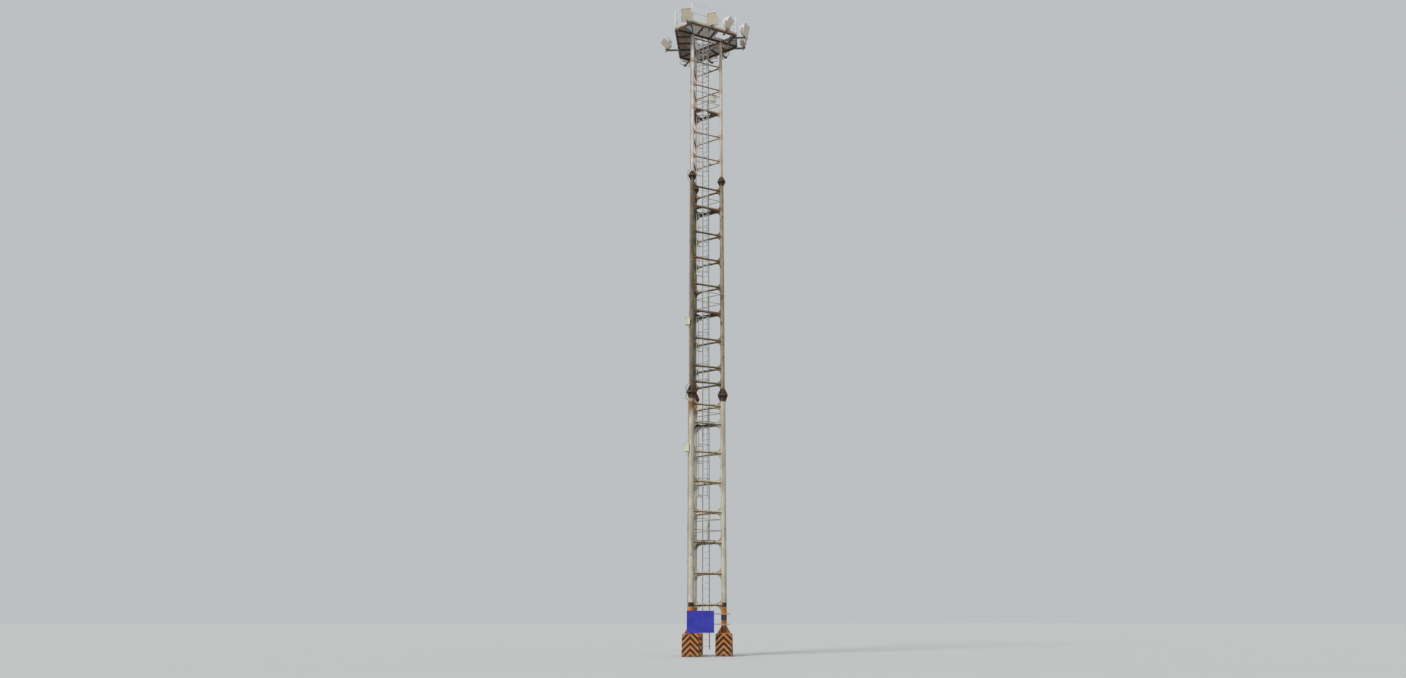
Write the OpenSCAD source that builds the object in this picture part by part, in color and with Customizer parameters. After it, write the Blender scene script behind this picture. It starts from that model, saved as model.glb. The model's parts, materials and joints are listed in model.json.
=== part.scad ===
// Three-legged tubular floodlight tower with a hexagonal head platform.
// The origin is the centre of the underside of the front left plinth, +X runs to the
// front right leg, +Y runs inward to the rear leg and +Z is up.

/* [Tower] */
// Distance between leg centres
leg_spacing = 1785; // [1700:5:2400]
// Height of one bay between rungs
bay_h = 1500; // [1400:10:1900]
// Height of the first rung
first_rung_z = 2400; // [2200:10:3000]
// Gap left for the weld or the paint where two parts meet
cope_gap = 0.3; // [0.1:0.1:1]

/* [Plinths] */
// Height of a plinth above the ground
plinth_h = 1050; // [800:10:1200]
// Width of a plinth at the ground
plinth_w = 830; // [780:10:1000]
// Width of a plinth below its top bevel
plinth_top_w = 790; // [760:10:960]
// Bevel round the top of a plinth
plinth_bevel = 45; // [20:5:60]
// Turn of the plinths about the vertical
plinth_turn = 60; // [0:5:90]

/* [Legs] */
// Outer diameters of the leg tubes, from the bottom up
leg_od = [273, 219.1, 168.3]; // [150:0.1:320]
// Wall thicknesses of the leg tubes
leg_wall = [10, 8, 7]; // [5:0.5:14]
// Width of the square base plates
base_plate_w = 620; // [560:10:680]
// Thickness of the base plates
base_plate_t = 32; // [20:1:50]
// Height of the stiffeners on a base plate
base_rib_h = 300; // [200:10:400]
// Diameters of the two flange joints
flange_d = [530, 450]; // [400:5:600]
// Thickness of each flange
flange_t = 28; // [16:1:40]
// Heights of the stiffeners at the two flange joints
flange_rib_h = [320, 240]; // [150:10:400]
// Thickness of the stiffeners
rib_t = 12; // [8:1:20]
// Number of stiffeners round a leg
rib_count = 8; // [6:1:12]
// Rise of the two flange joints above the rung place that they take
joint_rise = [50, 270]; // [0:10:400]
// Distance from a flange joint to the extra rung beside it
end_rung_gap = 590; // [480:10:700]

/* [Rungs] */
// Outer diameters of the rungs, from the bottom up
rung_od = [114.3, 101.6, 76.3]; // [60:0.1:140]
// Wall thickness of the rungs
rung_wall = 6; // [4:1:8]
// Radii of the haunches in the corners of the bays
haunch_r = [330, 270, 225]; // [180:5:400]
// Thickness of the haunch plates
haunch_t = 12; // [8:1:16]
// Blunt end of a haunch plate
haunch_lip = 9; // [5:1:15]

/* [Resting platforms] */
// Depth of the grating bars
grate_h = 32; // [25:1:50]
// Thickness of the grating's edge bars
grate_edge = 8; // [5:1:10]
// Thickness of the bearing bars
grate_bar = 6; // [4:1:8]
// Spacing of the bearing bars
grate_pitch = 120; // [60:5:200]
// Gap between grating and legs
grate_gap = 15; // [5:1:30]
// Length of the climbing hatch, from the ladder inward
hatch_l = 640; // [600:10:700]
// Width of the climbing hatch
hatch_w = 660; // [600:10:720]
// Diameter of the guard rails
guard_od = 34; // [25:1:42]
// Heights of the guard rails above the grating
guard_z = [500, 1050]; // [400:10:1200]
// Width of a guard post's foot
guard_foot_w = 60; // [50:5:80]
// Thickness of a guard post's foot
guard_foot_t = 8; // [5:1:12]

/* [Ladder] */
// Distance from the right face to the ladder
ladder_back = 250; // [230:5:300]
// Width between the stringers
ladder_w = 390; // [350:10:450]
// Depth of a stringer
stringer_d = 60; // [50:5:75]
// Thickness of a stringer
stringer_t = 10; // [8:1:12]
// Height of the ladder's foot above the ground
ladder_foot_z = 300; // [150:10:500]
// Height of the ladder above the head deck
ladder_over = 1100; // [900:10:1200]
// Spacing of the treads
tread_pitch = 300; // [250:10:320]
// Diameter of the treads
tread_d = 20; // [18:1:25]
// Radius of the cage
cage_r = 350; // [330:5:370]
// Height of a hoop's flat bar
hoop_h = 50; // [40:5:60]
// Thickness of the cage's flat bars
hoop_t = 6; // [5:1:8]
// Largest spacing of the hoops
hoop_pitch = 900; // [600:50:1000]
// Width of the cage's upright straps
strap_w = 40; // [30:5:50]
// Headroom between a platform and the cage above it
cage_start = 2200; // [2100:50:2400]
// Gap between the top of a cage and the platform above it
cage_end = 250; // [150:10:400]

/* [Head platform] */
// Distance from a face to the deck's edge
deck_reach = 1000; // [900:10:1200]
// Length of the short sides in front of the legs
corner_side = 1200; // [1000:10:1400]
// Rise of the frame above the top rung
frame_rise = 150; // [120:5:200]
// Depth of the frame's beams
beam_h = 120; // [100:5:160]
// Width of the frame's beams
beam_w = 60; // [50:5:80]
// Thickness of the frame's flanges and webs
beam_t = 7; // [5:1:10]
// Places of the cross beams along the left and the right side
cross_at = [-650, 0, 650]; // [-900:10:900]
// Places of the cross beams along the front side
cross_at_front = [-650, 150, 1360]; // [-900:10:1400]
// Ledge left free of grating at the edge
deck_ledge = 62; // [55:1:80]
// Gap between deck panels
panel_gap = 4; // [2:1:10]
// Hoisting opening in the front deck, in from its right post and in from its edge
hoist_from = [240, 150]; // [120:10:500]
// Size of the hoisting opening
hoist_size = [820, 640]; // [500:10:900]

/* [Handrail] */
// Height of the handrail above the deck
rail_z = 1200; // [1000:10:1300]
// Height of the middle rail above the deck
mid_rail_z = 620; // [500:10:700]
// Diameter of the top rail
rail_od = 27; // [22:1:43]
// Diameter of the middle rail and the posts
post_od = 48; // [40:1:60]
// Height of the toe board
toe_h = 120; // [80:5:160]
// Thickness of the toe board
toe_t = 6; // [4:1:8]

/* [Floodlights] */
// Width of the front frame
light_w = 620; // [560:5:680]
// Height of the front frame
light_h = 700; // [640:5:760]
// Thickness of the front frame
bezel_t = 28; // [20:1:40]
// Face width of the front frame
bezel_w = 45; // [30:1:60]
// Depth of the front glass below the frame
glass_drop = 12; // [6:1:16]
// Depth of the reflector housing
shell_d = 250; // [200:5:280]
// Thickness of the housing's walls and of the glass
shell_t = 4; // [3:0.5:8]
// Height of the housing's back wall
back_h = 300; // [240:5:340]
// Height of the cooling fins
fin_h = 45; // [30:1:60]
// Thickness of a cooling fin
fin_t = 5; // [3:1:8]
// Number of cooling fins
fin_count = 9; // [5:2:13]
// Size of the gear box on the back wall
gear_box = [240, 90, 180]; // [60:5:300]
// Distance of the tilt axis behind the front glass
pivot_back = 130; // [110:5:160]
// Diameter of the trunnion pins
pin_d = 24; // [16:1:30]
// Radial clearance of the pins in the stirrup
pin_clearance = 0.05; // [0.01:0.01:0.1]
// Gap between housing and stirrup
stirrup_gap = 14; // [8:1:20]
// Width of the stirrup's flat bar
stirrup_w = 60; // [50:1:80]
// Thickness of the stirrup's flat bar
stirrup_t = 8; // [6:1:12]
// Height of the tilt axis above the seat plate
pivot_h = 440; // [430:5:480]
// Width of the seat plates
seat_w = 150; // [120:5:180]
// Thickness of the seat plates
seat_t = 12; // [8:1:16]
// Width of the bracket tubes
arm_w = 80; // [60:5:100]
// Length of a bracket tube under the frame
arm_back = 140; // [100:10:300]

/* [Fittings] */
// Width of the sign board
sign_w = 1450; // [1200:10:1600]
// Height of the sign board
sign_h = 1020; // [900:10:1100]
// Gap between the base plates and the sign board's lower edge
sign_lift = 8; // [5:1:40]
// Place of the sign board's left edge
sign_x = -390; // [-500:10:-300]
// Thickness of the sign board
sign_t = 3; // [2:1:6]
// Width of the sign board's back rails and their clamps
sign_rail = 50; // [40:5:60]
// Distance of the back rails from the legs
sign_stand = 175; // [170:5:220]
// Heights of the back rails above the base stiffeners
sign_rail_z = [80, 560]; // [60:10:700]
// Diameter of the conduit
conduit_od = 42; // [30:1:60]
// Direction from the front left leg to the conduit
conduit_turn = 160; // [140:5:200]
// Gap between the conduit and the sign's clamps
conduit_gap = 2; // [1:1:20]
// Growth of an elbow over the conduit
elbow_grow = 8; // [4:1:16]
// Height of the conduit's clips
clip_h = 30; // [20:1:50]
// Spacing of the conduit's clips
clip_pitch = 1500; // [1000:50:2000]
// Size of a service box
box_size = [300, 200, 380]; // [150:10:500]
// Gap between a service box and its leg
box_stand = 8; // [5:1:14]
// Turn of the side arm from the conduit
side_turn = 25; // [15:5:60]
// Reach of the side arm below the first flange joint
side_arm = 620; // [300:10:700]
// Heights of the two service boxes on the conduit
box_z = [9850, 16550]; // [3000:50:24000]

/* [Hidden] */

// Plan of the three legs
leg_reach = leg_spacing / sqrt(3);
face_reach = leg_reach / 2;
centre = [leg_spacing / 2, face_reach];
function ray(a) = [cos(a), sin(a)];
function leg_angle(i) = 210 + 120 * i;
function leg_place(i) = centre + leg_reach * ray(leg_angle(i));

// Heights: rung k, the flange joints that take the places of rungs 7 and 15, and the head
joint_rungs = [7, 15];
top_rung = 21;
function rung_z(k) = first_rung_z + k * bay_h;
joint_z = [for (j = [0, 1]) rung_z(joint_rungs[j]) + joint_rise[j]];
base_z = plinth_h + base_plate_t;
frame_z = rung_z(top_rung) + frame_rise;
deck_z = frame_z + beam_h;
deck_top = deck_z + grate_h;
function section(z) = z < joint_z[0] ? 0 : z < joint_z[1] ? 1 : 2;
rung_heights = concat(
    [for (k = [0:joint_rungs[0] - 1]) rung_z(k)],
    [joint_z[0] - end_rung_gap, joint_z[0] + end_rung_gap],
    [for (k = [joint_rungs[0] + 1:joint_rungs[1] - 1]) rung_z(k)],
    [joint_z[1] - end_rung_gap],
    [for (k = [joint_rungs[1] + 1:top_rung]) rung_z(k)]);

// Resting platforms lie on every fourth rung, just inside the haunch plates
rest_rungs = [2, 6, 10, 14, 18];
rest_inset = haunch_t / 2 + 4;
function rest_z(p) = rung_z(rest_rungs[p])
    + sqrt(pow(rung_od[section(rung_z(rest_rungs[p]))] / 2, 2) - pow(rest_inset, 2)) + cope_gap;
guard_inset = guard_od / 2 + haunch_t / 2 + 1;

// A rung that lies within a guard's height takes the place of its top rail
function guard_limit(p) = let(z0 = rest_z(p) + grate_h) min([for (z = rung_heights)
    if (z > z0) z - rung_od[section(z)] / 2 - cope_gap]) - z0;
function guard_rails(p) = [for (z = guard_z) if (z + guard_od < guard_limit(p)) z];

// The ladder's own frame: x points from the centre to the right face, y along that face
ladder_angle = 30;
ladder_x = face_reach - ladder_back;
stringer_y = ladder_w / 2 + stringer_t / 2;
stringer_front = ladder_x - stringer_d / 2;
hatch_x1 = ladder_x + stringer_d / 2 + 20;
cage_x = stringer_front - sqrt(pow(cage_r, 2) - pow(stringer_y, 2));

// Head platform: apothems of the long and the short sides
long_reach = face_reach + deck_reach;
short_reach = 2 * long_reach - corner_side * cos(30);
post_inset = post_od / 2 + toe_t;
function half_corner(d) = (2 * (long_reach - d) - (short_reach - d)) / cos(30) / 2;
function hexagon(d) = [for (i = [0:2], s = [-1, 1])
    (short_reach - d) * ray(leg_angle(i)) + s * half_corner(d) * ray(leg_angle(i) + 90)];
long_half = hexagon(0)[2][0];

// Floodlights: the side they are on, whether that side is short, the place along it,
// the reach of the arm, the turn of the stirrup and the tilt
lights = [
    [0, true, 500, 350, 24, 35],
    [0, false, -300, 350, -36, 26],
    [0, false, 640, 350, 40, 35],
    [1, true, -515, 450, -27, 12],
    [1, true, 555, 400, 18, 17],
    [2, false, -460, 620, 26, 50],
    [1, false, -350, 400, -20, 34],
    [1, false, 640, 400, 16, 38],
    [2, true, 0, 520, 0, 42]
];
pivot_x = light_w / 2 + stirrup_gap;
seat_z = frame_z + seat_t;

module at_centre(turn) { translate(centre) rotate(turn) children(); }
module on_face(i) { at_centre(120 * i) translate(-centre) children(); }
module at_leg(i) { translate(leg_place(i)) rotate(leg_angle(i) + 180) children(); }
module in_ladder_frame() { at_centre(ladder_angle) children(); }

// Upright plate of a given outline, centred on the xz plane
module upright(t) { rotate([90, 0, 0]) translate([0, 0, -t / 2]) linear_extrude(t) children(); }

// Board of a given thickness from one point of a level plane to another
module run(p, q, t, h) {
    d = q - p;
    translate([p[0], p[1], 0]) rotate([0, 0, atan2(d[1], d[0])]) translate([0, -t / 2, 0])
        cube([norm(d), t, h]);
}

module plinth_profile() {
    w = plinth_w / 2;
    t = plinth_top_w / 2;
    polygon([[-w, 0], [w, 0], [t, plinth_h - plinth_bevel], [t - plinth_bevel, plinth_h],
        [plinth_bevel - t, plinth_h], [-t, plinth_h - plinth_bevel]]);
}

module plinth(i) {
    color([0.72, 0.50, 0.16]) translate(leg_place(i)) rotate(plinth_turn) intersection() {
        upright(2 * plinth_w) plinth_profile();
        rotate(90) upright(2 * plinth_w) plinth_profile();
    }
}

// Stiffeners standing on a plate at z = 0 round a tube
module ribs(tube_od, wall, reach, h) {
    for (a = [0:rib_count - 1]) rotate(a * 360 / rib_count) upright(rib_t)
        polygon([[tube_od / 2 - wall / 2, -rib_t / 2], [reach, -rib_t / 2], [reach, 2 * rib_t],
            [tube_od / 2 + rib_t, h], [tube_od / 2 - wall / 2, h]]);
}

module flange(s, j) {
    cylinder(h = flange_t, d = flange_d[j]);
    translate([0, 0, flange_t]) ribs(leg_od[s], leg_wall[s], flange_d[j] / 2 - 8, flange_rib_h[j]);
}

module tube(s, z0, z1) { translate([0, 0, z0]) cylinder(h = z1 - z0, d = leg_od[s]); }

module bore(s, z0, z1) {
    translate([0, 0, z0]) cylinder(h = z1 - z0, d = leg_od[s] - 2 * leg_wall[s]);
}

module leg_lower(i) {
    color([0.71, 0.68, 0.61]) difference() {
        union() {
            translate(leg_place(i)) rotate(plinth_turn) translate([0, 0, plinth_h]) {
                translate([-base_plate_w / 2, -base_plate_w / 2, 0])
                    cube([base_plate_w, base_plate_w, base_plate_t]);
                translate([0, 0, base_plate_t])
                    ribs(leg_od[0], leg_wall[0], base_plate_w / 2 - 15, base_rib_h);
            }
            at_leg(i) {
                tube(0, base_z - 1, joint_z[0]);
                translate([0, 0, joint_z[0]]) mirror([0, 0, 1]) flange(0, 0);
            }
        }
        at_leg(i) bore(0, base_z, joint_z[0] + 1);
    }
}

module leg_middle(i) {
    color([0.45, 0.40, 0.31]) at_leg(i) difference() {
        union() {
            tube(1, joint_z[0], joint_z[1]);
            translate([0, 0, joint_z[0]]) flange(1, 0);
            translate([0, 0, joint_z[1]]) mirror([0, 0, 1]) flange(1, 1);
        }
        bore(1, joint_z[0] - 1, joint_z[1] + 1);
    }
}

module leg_upper(i) {
    color([0.74, 0.71, 0.68]) at_leg(i) difference() {
        union() {
            tube(2, joint_z[1], frame_z);
            translate([0, 0, joint_z[1]]) flange(2, 1);
            translate([0, 0, frame_z - flange_t]) cylinder(h = flange_t, d = leg_od[2] + 80);
        }
        bore(2, joint_z[1] - 1, frame_z - flange_t);
    }
}

// Corner plate with a concave edge, between a leg at x = 0 and a rung at z = 0
module haunch(s) {
    leg_r = leg_od[s] / 2 - haunch_t;
    rung_r = rung_od[s] / 2 - rung_wall / 2;
    far = [leg_od[s] / 2 + haunch_r[s], rung_od[s] / 2 + haunch_r[s]];
    upright(haunch_t) difference() {
        translate([leg_r, rung_r]) square(far - [leg_r, rung_r]);
        translate(far) circle(r = haunch_r[s] - haunch_lip, $fn = 64);
    }
}

// Rung of a section with its haunches, coped to both legs; the top rung has none above it
module rung(s, downs = [0, 1]) {
    reach = haunch_r[s] + rung_od[s];
    difference() {
        union() {
            rotate([0, 90, 0]) cylinder(h = leg_spacing, d = rung_od[s]);
            for (side = [0, 1], down = downs)
                translate([side * leg_spacing, 0, 0]) mirror([side, 0, 0]) mirror([0, 0, down]) haunch(s);
        }
        for (x = [0, leg_spacing])
            translate([x, 0, -reach]) cylinder(h = 2 * reach, r = leg_od[s] / 2 + cope_gap);
        rotate([0, 90, 0]) cylinder(h = leg_spacing, d = rung_od[s] - 2 * rung_wall);
    }
}

module rungs(i) {
    color([0.58, 0.52, 0.43]) on_face(i)
        for (z = rung_heights) translate([0, 0, z]) rung(section(z), z == rung_z(top_rung) ? [1] : [0, 1]);
}

// Climbing hatch in plan, grown by an edge bar where one goes round it
module hatch(grow) {
    rotate(ladder_angle) translate([hatch_x1 - hatch_l - grow, -hatch_w / 2 - grow])
        square([hatch_l + 2 * grow, hatch_w + 2 * grow]);
}

// Triangle inside the faces, with its edges a given distance inside them
module triangle(d) { polygon([for (i = [0:2]) (leg_reach - 2 * d) * ray(leg_angle(i))]); }

// Bearing bars across a square field about the centre
module bearing_bars(half) {
    for (x = [-half:grate_pitch:half]) translate([x - grate_bar / 2, -half]) square([grate_bar, 2 * half]);
}

// Plan of a resting platform's four panels round the hatch, with their edges moved inward by d
module rest_outline(s, d) {
    cut = panel_gap / 2 + d;
    difference() {
        triangle(rest_inset + d);
        for (i = [0:2]) translate(leg_reach * ray(leg_angle(i)))
            circle(r = leg_od[s] / 2 + grate_gap + d, $fn = 48);
        hatch(d);
        rotate(ladder_angle) for (y = [-hatch_w / 2, hatch_w / 2])
            translate([-2 * leg_reach, y - cut]) square([4 * leg_reach, 2 * cut]);
    }
}

module rest_platform(p) {
    s = section(rest_z(p));
    color([0.24, 0.21, 0.17]) translate([0, 0, rest_z(p)]) at_centre(0) linear_extrude(grate_h) {
        difference() {
            rest_outline(s, 0);
            rest_outline(s, grate_edge);
        }
        intersection() {
            rest_outline(s, 0);
            bearing_bars(leg_reach);
        }
    }
}

// Guard of one resting platform on the front face: a post on its foot and two rails
module guard(p) {
    s = section(rest_z(p));
    translate([0, guard_inset, rest_z(p) + grate_h]) difference() {
        union() {
            for (z = guard_rails(p))
                translate([0, 0, z]) rotate([0, 90, 0]) cylinder(h = leg_spacing, d = guard_od);
            translate([leg_spacing / 2, 0, cope_gap]) {
                cylinder(h = min(guard_z[1], guard_limit(p)) - cope_gap, d = guard_od);
                translate([-guard_foot_w / 2, -guard_foot_w / 2, 0])
                    cube([guard_foot_w, guard_foot_w, guard_foot_t]);
            }
        }
        for (x = [0, leg_spacing])
            translate([x, -guard_inset, 0]) cylinder(h = 2 * guard_z[1], r = leg_od[s] / 2 + cope_gap);
    }
}

module rest_guard(i) {
    color([0.66, 0.63, 0.55]) on_face(i) for (p = [0:4]) guard(p);
}

module ladder() {
    top = deck_top + ladder_over;
    treads = floor((top - ladder_foot_z - tread_pitch / 2) / tread_pitch);
    color([0.62, 0.58, 0.50]) in_ladder_frame() {
        for (y = [-stringer_y, stringer_y]) {
            translate([stringer_front, y - stringer_t / 2, ladder_foot_z])
                cube([stringer_d, stringer_t, top - ladder_foot_z]);
            for (k = [0:2:top_rung]) ladder_bracket(y, k);
        }
        for (n = [0:treads - 1])
            translate([ladder_x, -stringer_y, ladder_foot_z + tread_pitch / 2 + n * tread_pitch])
                rotate([-90, 0, 0]) cylinder(h = 2 * stringer_y, d = tread_d);
    }
}

// Flat that holds a stringer off rung k of the right face
module ladder_bracket(y, k) {
    z = rung_z(k);
    start = ladder_x + stringer_d / 4;
    reach = face_reach - rung_od[section(z)] / 2 - cope_gap;
    translate([start, y - stringer_t / 2, z - hoop_h / 2]) cube([reach - start, stringer_t, hoop_h]);
}

// One length of cage: hoops joined by straps
module cage(z0, z1) {
    gaps = ceil((z1 - z0 - hoop_h) / hoop_pitch);
    pitch = (z1 - z0 - hoop_h) / gaps;
    translate([cage_x, 0, z0]) {
        for (n = [0:gaps]) translate([0, 0, n * pitch]) difference() {
            cylinder(h = hoop_h, r = cage_r + hoop_t);
            translate([0, 0, -1]) cylinder(h = hoop_h + 2, r = cage_r);
            translate([stringer_front - cage_x, -cage_r * 2, -1]) cube([cage_r * 2, cage_r * 4, hoop_h + 2]);
        }
        for (a = [100, 140, 180, 220, 260]) rotate(a)
            translate([cage_r - hoop_t, -strap_w / 2, 0]) cube([hoop_t + 1, strap_w, z1 - z0]);
    }
}

module ladder_cage() {
    color([0.70, 0.70, 0.68]) in_ladder_frame() for (p = [0:4])
        cage(rest_z(p) + grate_h + cage_start, (p < 4 ? rest_z(p + 1) : frame_z) - cage_end);
}

// Plan of the frame's flanges or webs: the rim, the three main beams and the cross beams
module frame_plan(rim, w) {
    difference() {
        polygon(hexagon(0));
        polygon(hexagon(rim));
    }
    intersection() {
        polygon(hexagon(rim / 2));
        for (i = [0:2]) rotate(120 * i) {
            translate([-short_reach, -face_reach - w / 2]) square([2 * short_reach, w]);
            for (x = i == 0 ? cross_at_front : cross_at)
                translate([x - w / 2, -long_reach]) square([w, deck_reach]);
        }
    }
}

// Place of a floodlight's seat: y points outward, x along the side
module at_seat(n) {
    side = lights[n][0];
    angle = lights[n][1] ? leg_angle(side) : -90 + 120 * side;
    edge = lights[n][1] ? short_reach : long_reach;
    at_centre(angle - 90) translate([-lights[n][2], edge, 0]) children();
}

module light_arm(n) {
    reach = lights[n][3];
    at_seat(n) {
        translate([-arm_w / 2, -arm_back, -arm_w]) cube([arm_w, arm_back + reach + arm_w / 2, arm_w]);
        translate([-seat_w / 2, reach - seat_w / 2, 0]) cube([seat_w, seat_w, seat_t]);
    }
}

module head_frame() {
    color([0.40, 0.33, 0.26]) translate([0, 0, frame_z]) {
        at_centre(0) {
            linear_extrude(beam_h) frame_plan(beam_t, beam_t);
            for (z = [0, beam_h - beam_t])
                translate([0, 0, z]) linear_extrude(beam_t) frame_plan(beam_w, beam_w);
        }
        for (n = [0:8]) light_arm(n);
    }
}

// Deck panel outside the front face, with its edges moved inward by d
function walkway_half(d) = let(e = panel_gap / 2 + d, r = short_reach - deck_ledge - d, a = leg_angle(1)) [
    (leg_reach + 2 * e * (1 - cos(30))) * ray(a) - e * ray(a + 90),
    r * ray(a) - e * ray(a + 90),
    r * ray(a) - half_corner(deck_ledge + d) * ray(a + 90)
];
function walkway(d) = let(h = walkway_half(d)) concat(h, [for (k = [2:-1:0]) [-h[k][0], h[k][1]]]);

module hoist_opening(grow) {
    translate([long_half - hoist_from[0] - hoist_size[0] - grow,
        -long_reach + hoist_from[1] - grow]) square(hoist_size + 2 * [grow, grow]);
}

module walkway_outline(d, hoist) {
    difference() {
        polygon(walkway(d));
        if (hoist) hoist_opening(d);
    }
}

module deck_walkway(i) {
    color([0.27, 0.25, 0.20]) translate([0, 0, deck_z]) at_centre(120 * i) linear_extrude(grate_h) {
        difference() {
            walkway_outline(0, i == 0);
            walkway_outline(grate_edge, i == 0);
        }
        intersection() {
            walkway_outline(0, i == 0);
            bearing_bars(short_reach);
        }
    }
}

module inner_outline(d) {
    difference() {
        triangle(panel_gap / 2 + d);
        hatch(d);
    }
}

module deck_inner() {
    color([0.25, 0.23, 0.19]) translate([0, 0, deck_z]) at_centre(0) linear_extrude(grate_h) {
        difference() {
            inner_outline(0);
            inner_outline(grate_edge);
        }
        intersection() {
            inner_outline(0);
            bearing_bars(leg_reach);
        }
    }
}

module rail(p, q, z, d) {
    v = q - p;
    translate([p[0], p[1], z]) rotate([0, 0, atan2(v[1], v[0])]) rotate([0, 90, 0])
        cylinder(h = norm(v), d = d);
}

module toe_board(p, q) { translate([0, 0, deck_z + cope_gap]) run(p, q, toe_t, toe_h + grate_h); }

// Handrail of one long side with its posts, and of the short side on its right
module handrail(i) {
    corners = hexagon(post_inset);
    long_a = corners[1];
    long_b = corners[2];
    short_b = corners[3];
    trim = (post_od / 2 + cope_gap) * (short_b - long_b) / norm(short_b - long_b);
    color([0.78, 0.78, 0.77]) at_centre(120 * i) {
        for (t = [0, 0.5, 1]) translate((1 - t) * long_a + t * long_b)
            translate([0, 0, deck_z + cope_gap]) cylinder(h = grate_h + rail_z - cope_gap, d = post_od);
        rail(long_a, long_b, deck_top + rail_z, rail_od);
        rail(long_a, long_b, deck_top + mid_rail_z, post_od * 0.8);
        toe_board(long_a, long_b);
        for (z = [[rail_z - rail_od, rail_od], [mid_rail_z, post_od * 0.8]])
            rail(long_b + trim, short_b - trim, deck_top + z[0], z[1]);
        toe_board(long_b + trim, short_b - trim);
    }
}

// Places of a floodlight: at its tilt axis, x along the axis and y outward
module at_pivot(n) {
    at_seat(n) translate([0, lights[n][3], seat_z + pivot_h]) rotate(lights[n][4]) children();
}

module stirrup() {
    outer = pivot_x + stirrup_t;
    foot = cope_gap - pivot_h;
    difference() {
        union() {
            translate([-outer, -stirrup_w / 2, foot]) cube([2 * outer, stirrup_w, stirrup_t]);
            for (x = [-outer, pivot_x]) {
                translate([x, -stirrup_w / 2, foot]) cube([stirrup_t, stirrup_w, -foot]);
                translate([x, 0, 0]) rotate([0, 90, 0]) cylinder(h = stirrup_t, d = stirrup_w);
            }
        }
        translate([-outer - 1, 0, 0]) rotate([0, 90, 0])
            cylinder(h = 2 * outer + 2, d = pin_d + 2 * pin_clearance);
    }
}

module light_stirrups() {
    color([0.60, 0.58, 0.52]) for (n = [0:8]) at_pivot(n) stirrup();
}

// Side outline of the housing, y forward, with its edges moved inward by d
module shell_outline(d) {
    front = pivot_back;
    back = pivot_back - shell_d;
    rim = light_h / 2 - bezel_w / 2;
    for (up = [0, 1]) mirror([0, up])
        polygon([[front - d, 0], [front - d, rim - d], [front - bezel_w, rim - d],
            [back + d, back_h / 2 - 1.5 * d], [back + d, 0]]);
}

// Closed housing behind the glass, hollow inside
module shell() {
    w = light_w - bezel_w;
    rotate([90, 0, 90]) difference() {
        translate([0, 0, -w / 2]) linear_extrude(w) shell_outline(0);
        translate([0, 0, -w / 2 + shell_t]) linear_extrude(w - 2 * shell_t) shell_outline(shell_t);
    }
}

// Front frame round the glass
module bezel() {
    translate([-light_w / 2, pivot_back + glass_drop - bezel_t, -light_h / 2]) difference() {
        cube([light_w, bezel_t, light_h]);
        translate([bezel_w, -1, bezel_w]) cube([light_w - 2 * bezel_w, bezel_t + 2, light_h - 2 * bezel_w]);
    }
}

module floodlight_body() {
    shell_w = light_w - bezel_w;
    back = pivot_back - shell_d;
    shell();
    bezel();
    translate([-gear_box[0] / 2, back - gear_box[1], -gear_box[2] / 2]) cube(gear_box + [0, 1, 0]);
    for (n = [0:fin_count - 1])
        translate([-shell_w / 2 + (n + 0.5) * shell_w / fin_count - fin_t / 2, back - fin_h, -back_h / 2])
            cube([fin_t, fin_h + 1, back_h]);
    for (s = [-1, 1]) rotate([0, s * 90, 0]) {
        translate([0, 0, shell_w / 2 - 1]) cylinder(h = pivot_x - shell_w / 2 + 1 - cope_gap, d = 2 * pin_d);
        translate([0, 0, shell_w / 2]) cylinder(h = pivot_x + stirrup_t + pin_d / 2 - shell_w / 2, d = pin_d);
        translate([0, 0, pivot_x + stirrup_t + cope_gap]) cylinder(h = pin_d / 2, d = 2 * pin_d);
    }
}

module floodlight(n) {
    color([0.75, 0.70, 0.56]) at_pivot(n) rotate([-lights[n][5], 0, 0]) floodlight_body();
}

// Band round a front leg with two arms that reach forward to a back rail
module sign_clamp() {
    r = leg_od[0] / 2 + cope_gap;
    difference() {
        union() {
            cylinder(h = sign_rail, r = r + rib_t);
            for (x = [-sign_rail, sign_rail])
                translate([x - rib_t / 2, -r - sign_stand, 0]) cube([rib_t, r + sign_stand, sign_rail]);
        }
        translate([0, 0, -1]) cylinder(h = sign_rail + 2, r = r);
    }
}

// Blank board on two rails that are clamped to both front legs
module sign_board() {
    back = -leg_od[0] / 2 - cope_gap - sign_stand;
    color([0.17, 0.20, 0.62]) {
        translate([sign_x, back - sign_rail - sign_t, base_z + sign_lift]) cube([sign_w, sign_t, sign_h]);
        for (z = sign_rail_z) translate([0, 0, base_z + base_rib_h + z]) {
            translate([sign_x + sign_rail, back - sign_rail - sign_t / 2, 0])
                cube([leg_spacing + leg_od[0] / 2 - sign_x - sign_rail, sign_rail + sign_t / 2, sign_rail]);
            for (x = [0, leg_spacing]) translate([x, 0, 0]) sign_clamp();
        }
    }
}

// Knees of the conduit: distance from the leg's axis and height
function conduit_in(s) = leg_od[s] / 2 + conduit_od / 2 + rib_t + conduit_gap;
function conduit_out(j) = flange_d[j] / 2 + conduit_od / 2 + rib_t;
conduit_knees = [
    [conduit_in(0), base_z + base_rib_h + 60],
    for (j = [0, 1]) each [
        [conduit_in(j), joint_z[j] - flange_rib_h[j] - conduit_out(j) + conduit_in(j)],
        [conduit_out(j), joint_z[j] - flange_rib_h[j]],
        [conduit_out(j), joint_z[j] + flange_rib_h[j]],
        [conduit_in(j + 1), joint_z[j] + flange_rib_h[j] + conduit_out(j) - conduit_in(j + 1)]
    ],
    [conduit_in(2), frame_z - flange_t - cope_gap]
];

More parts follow.
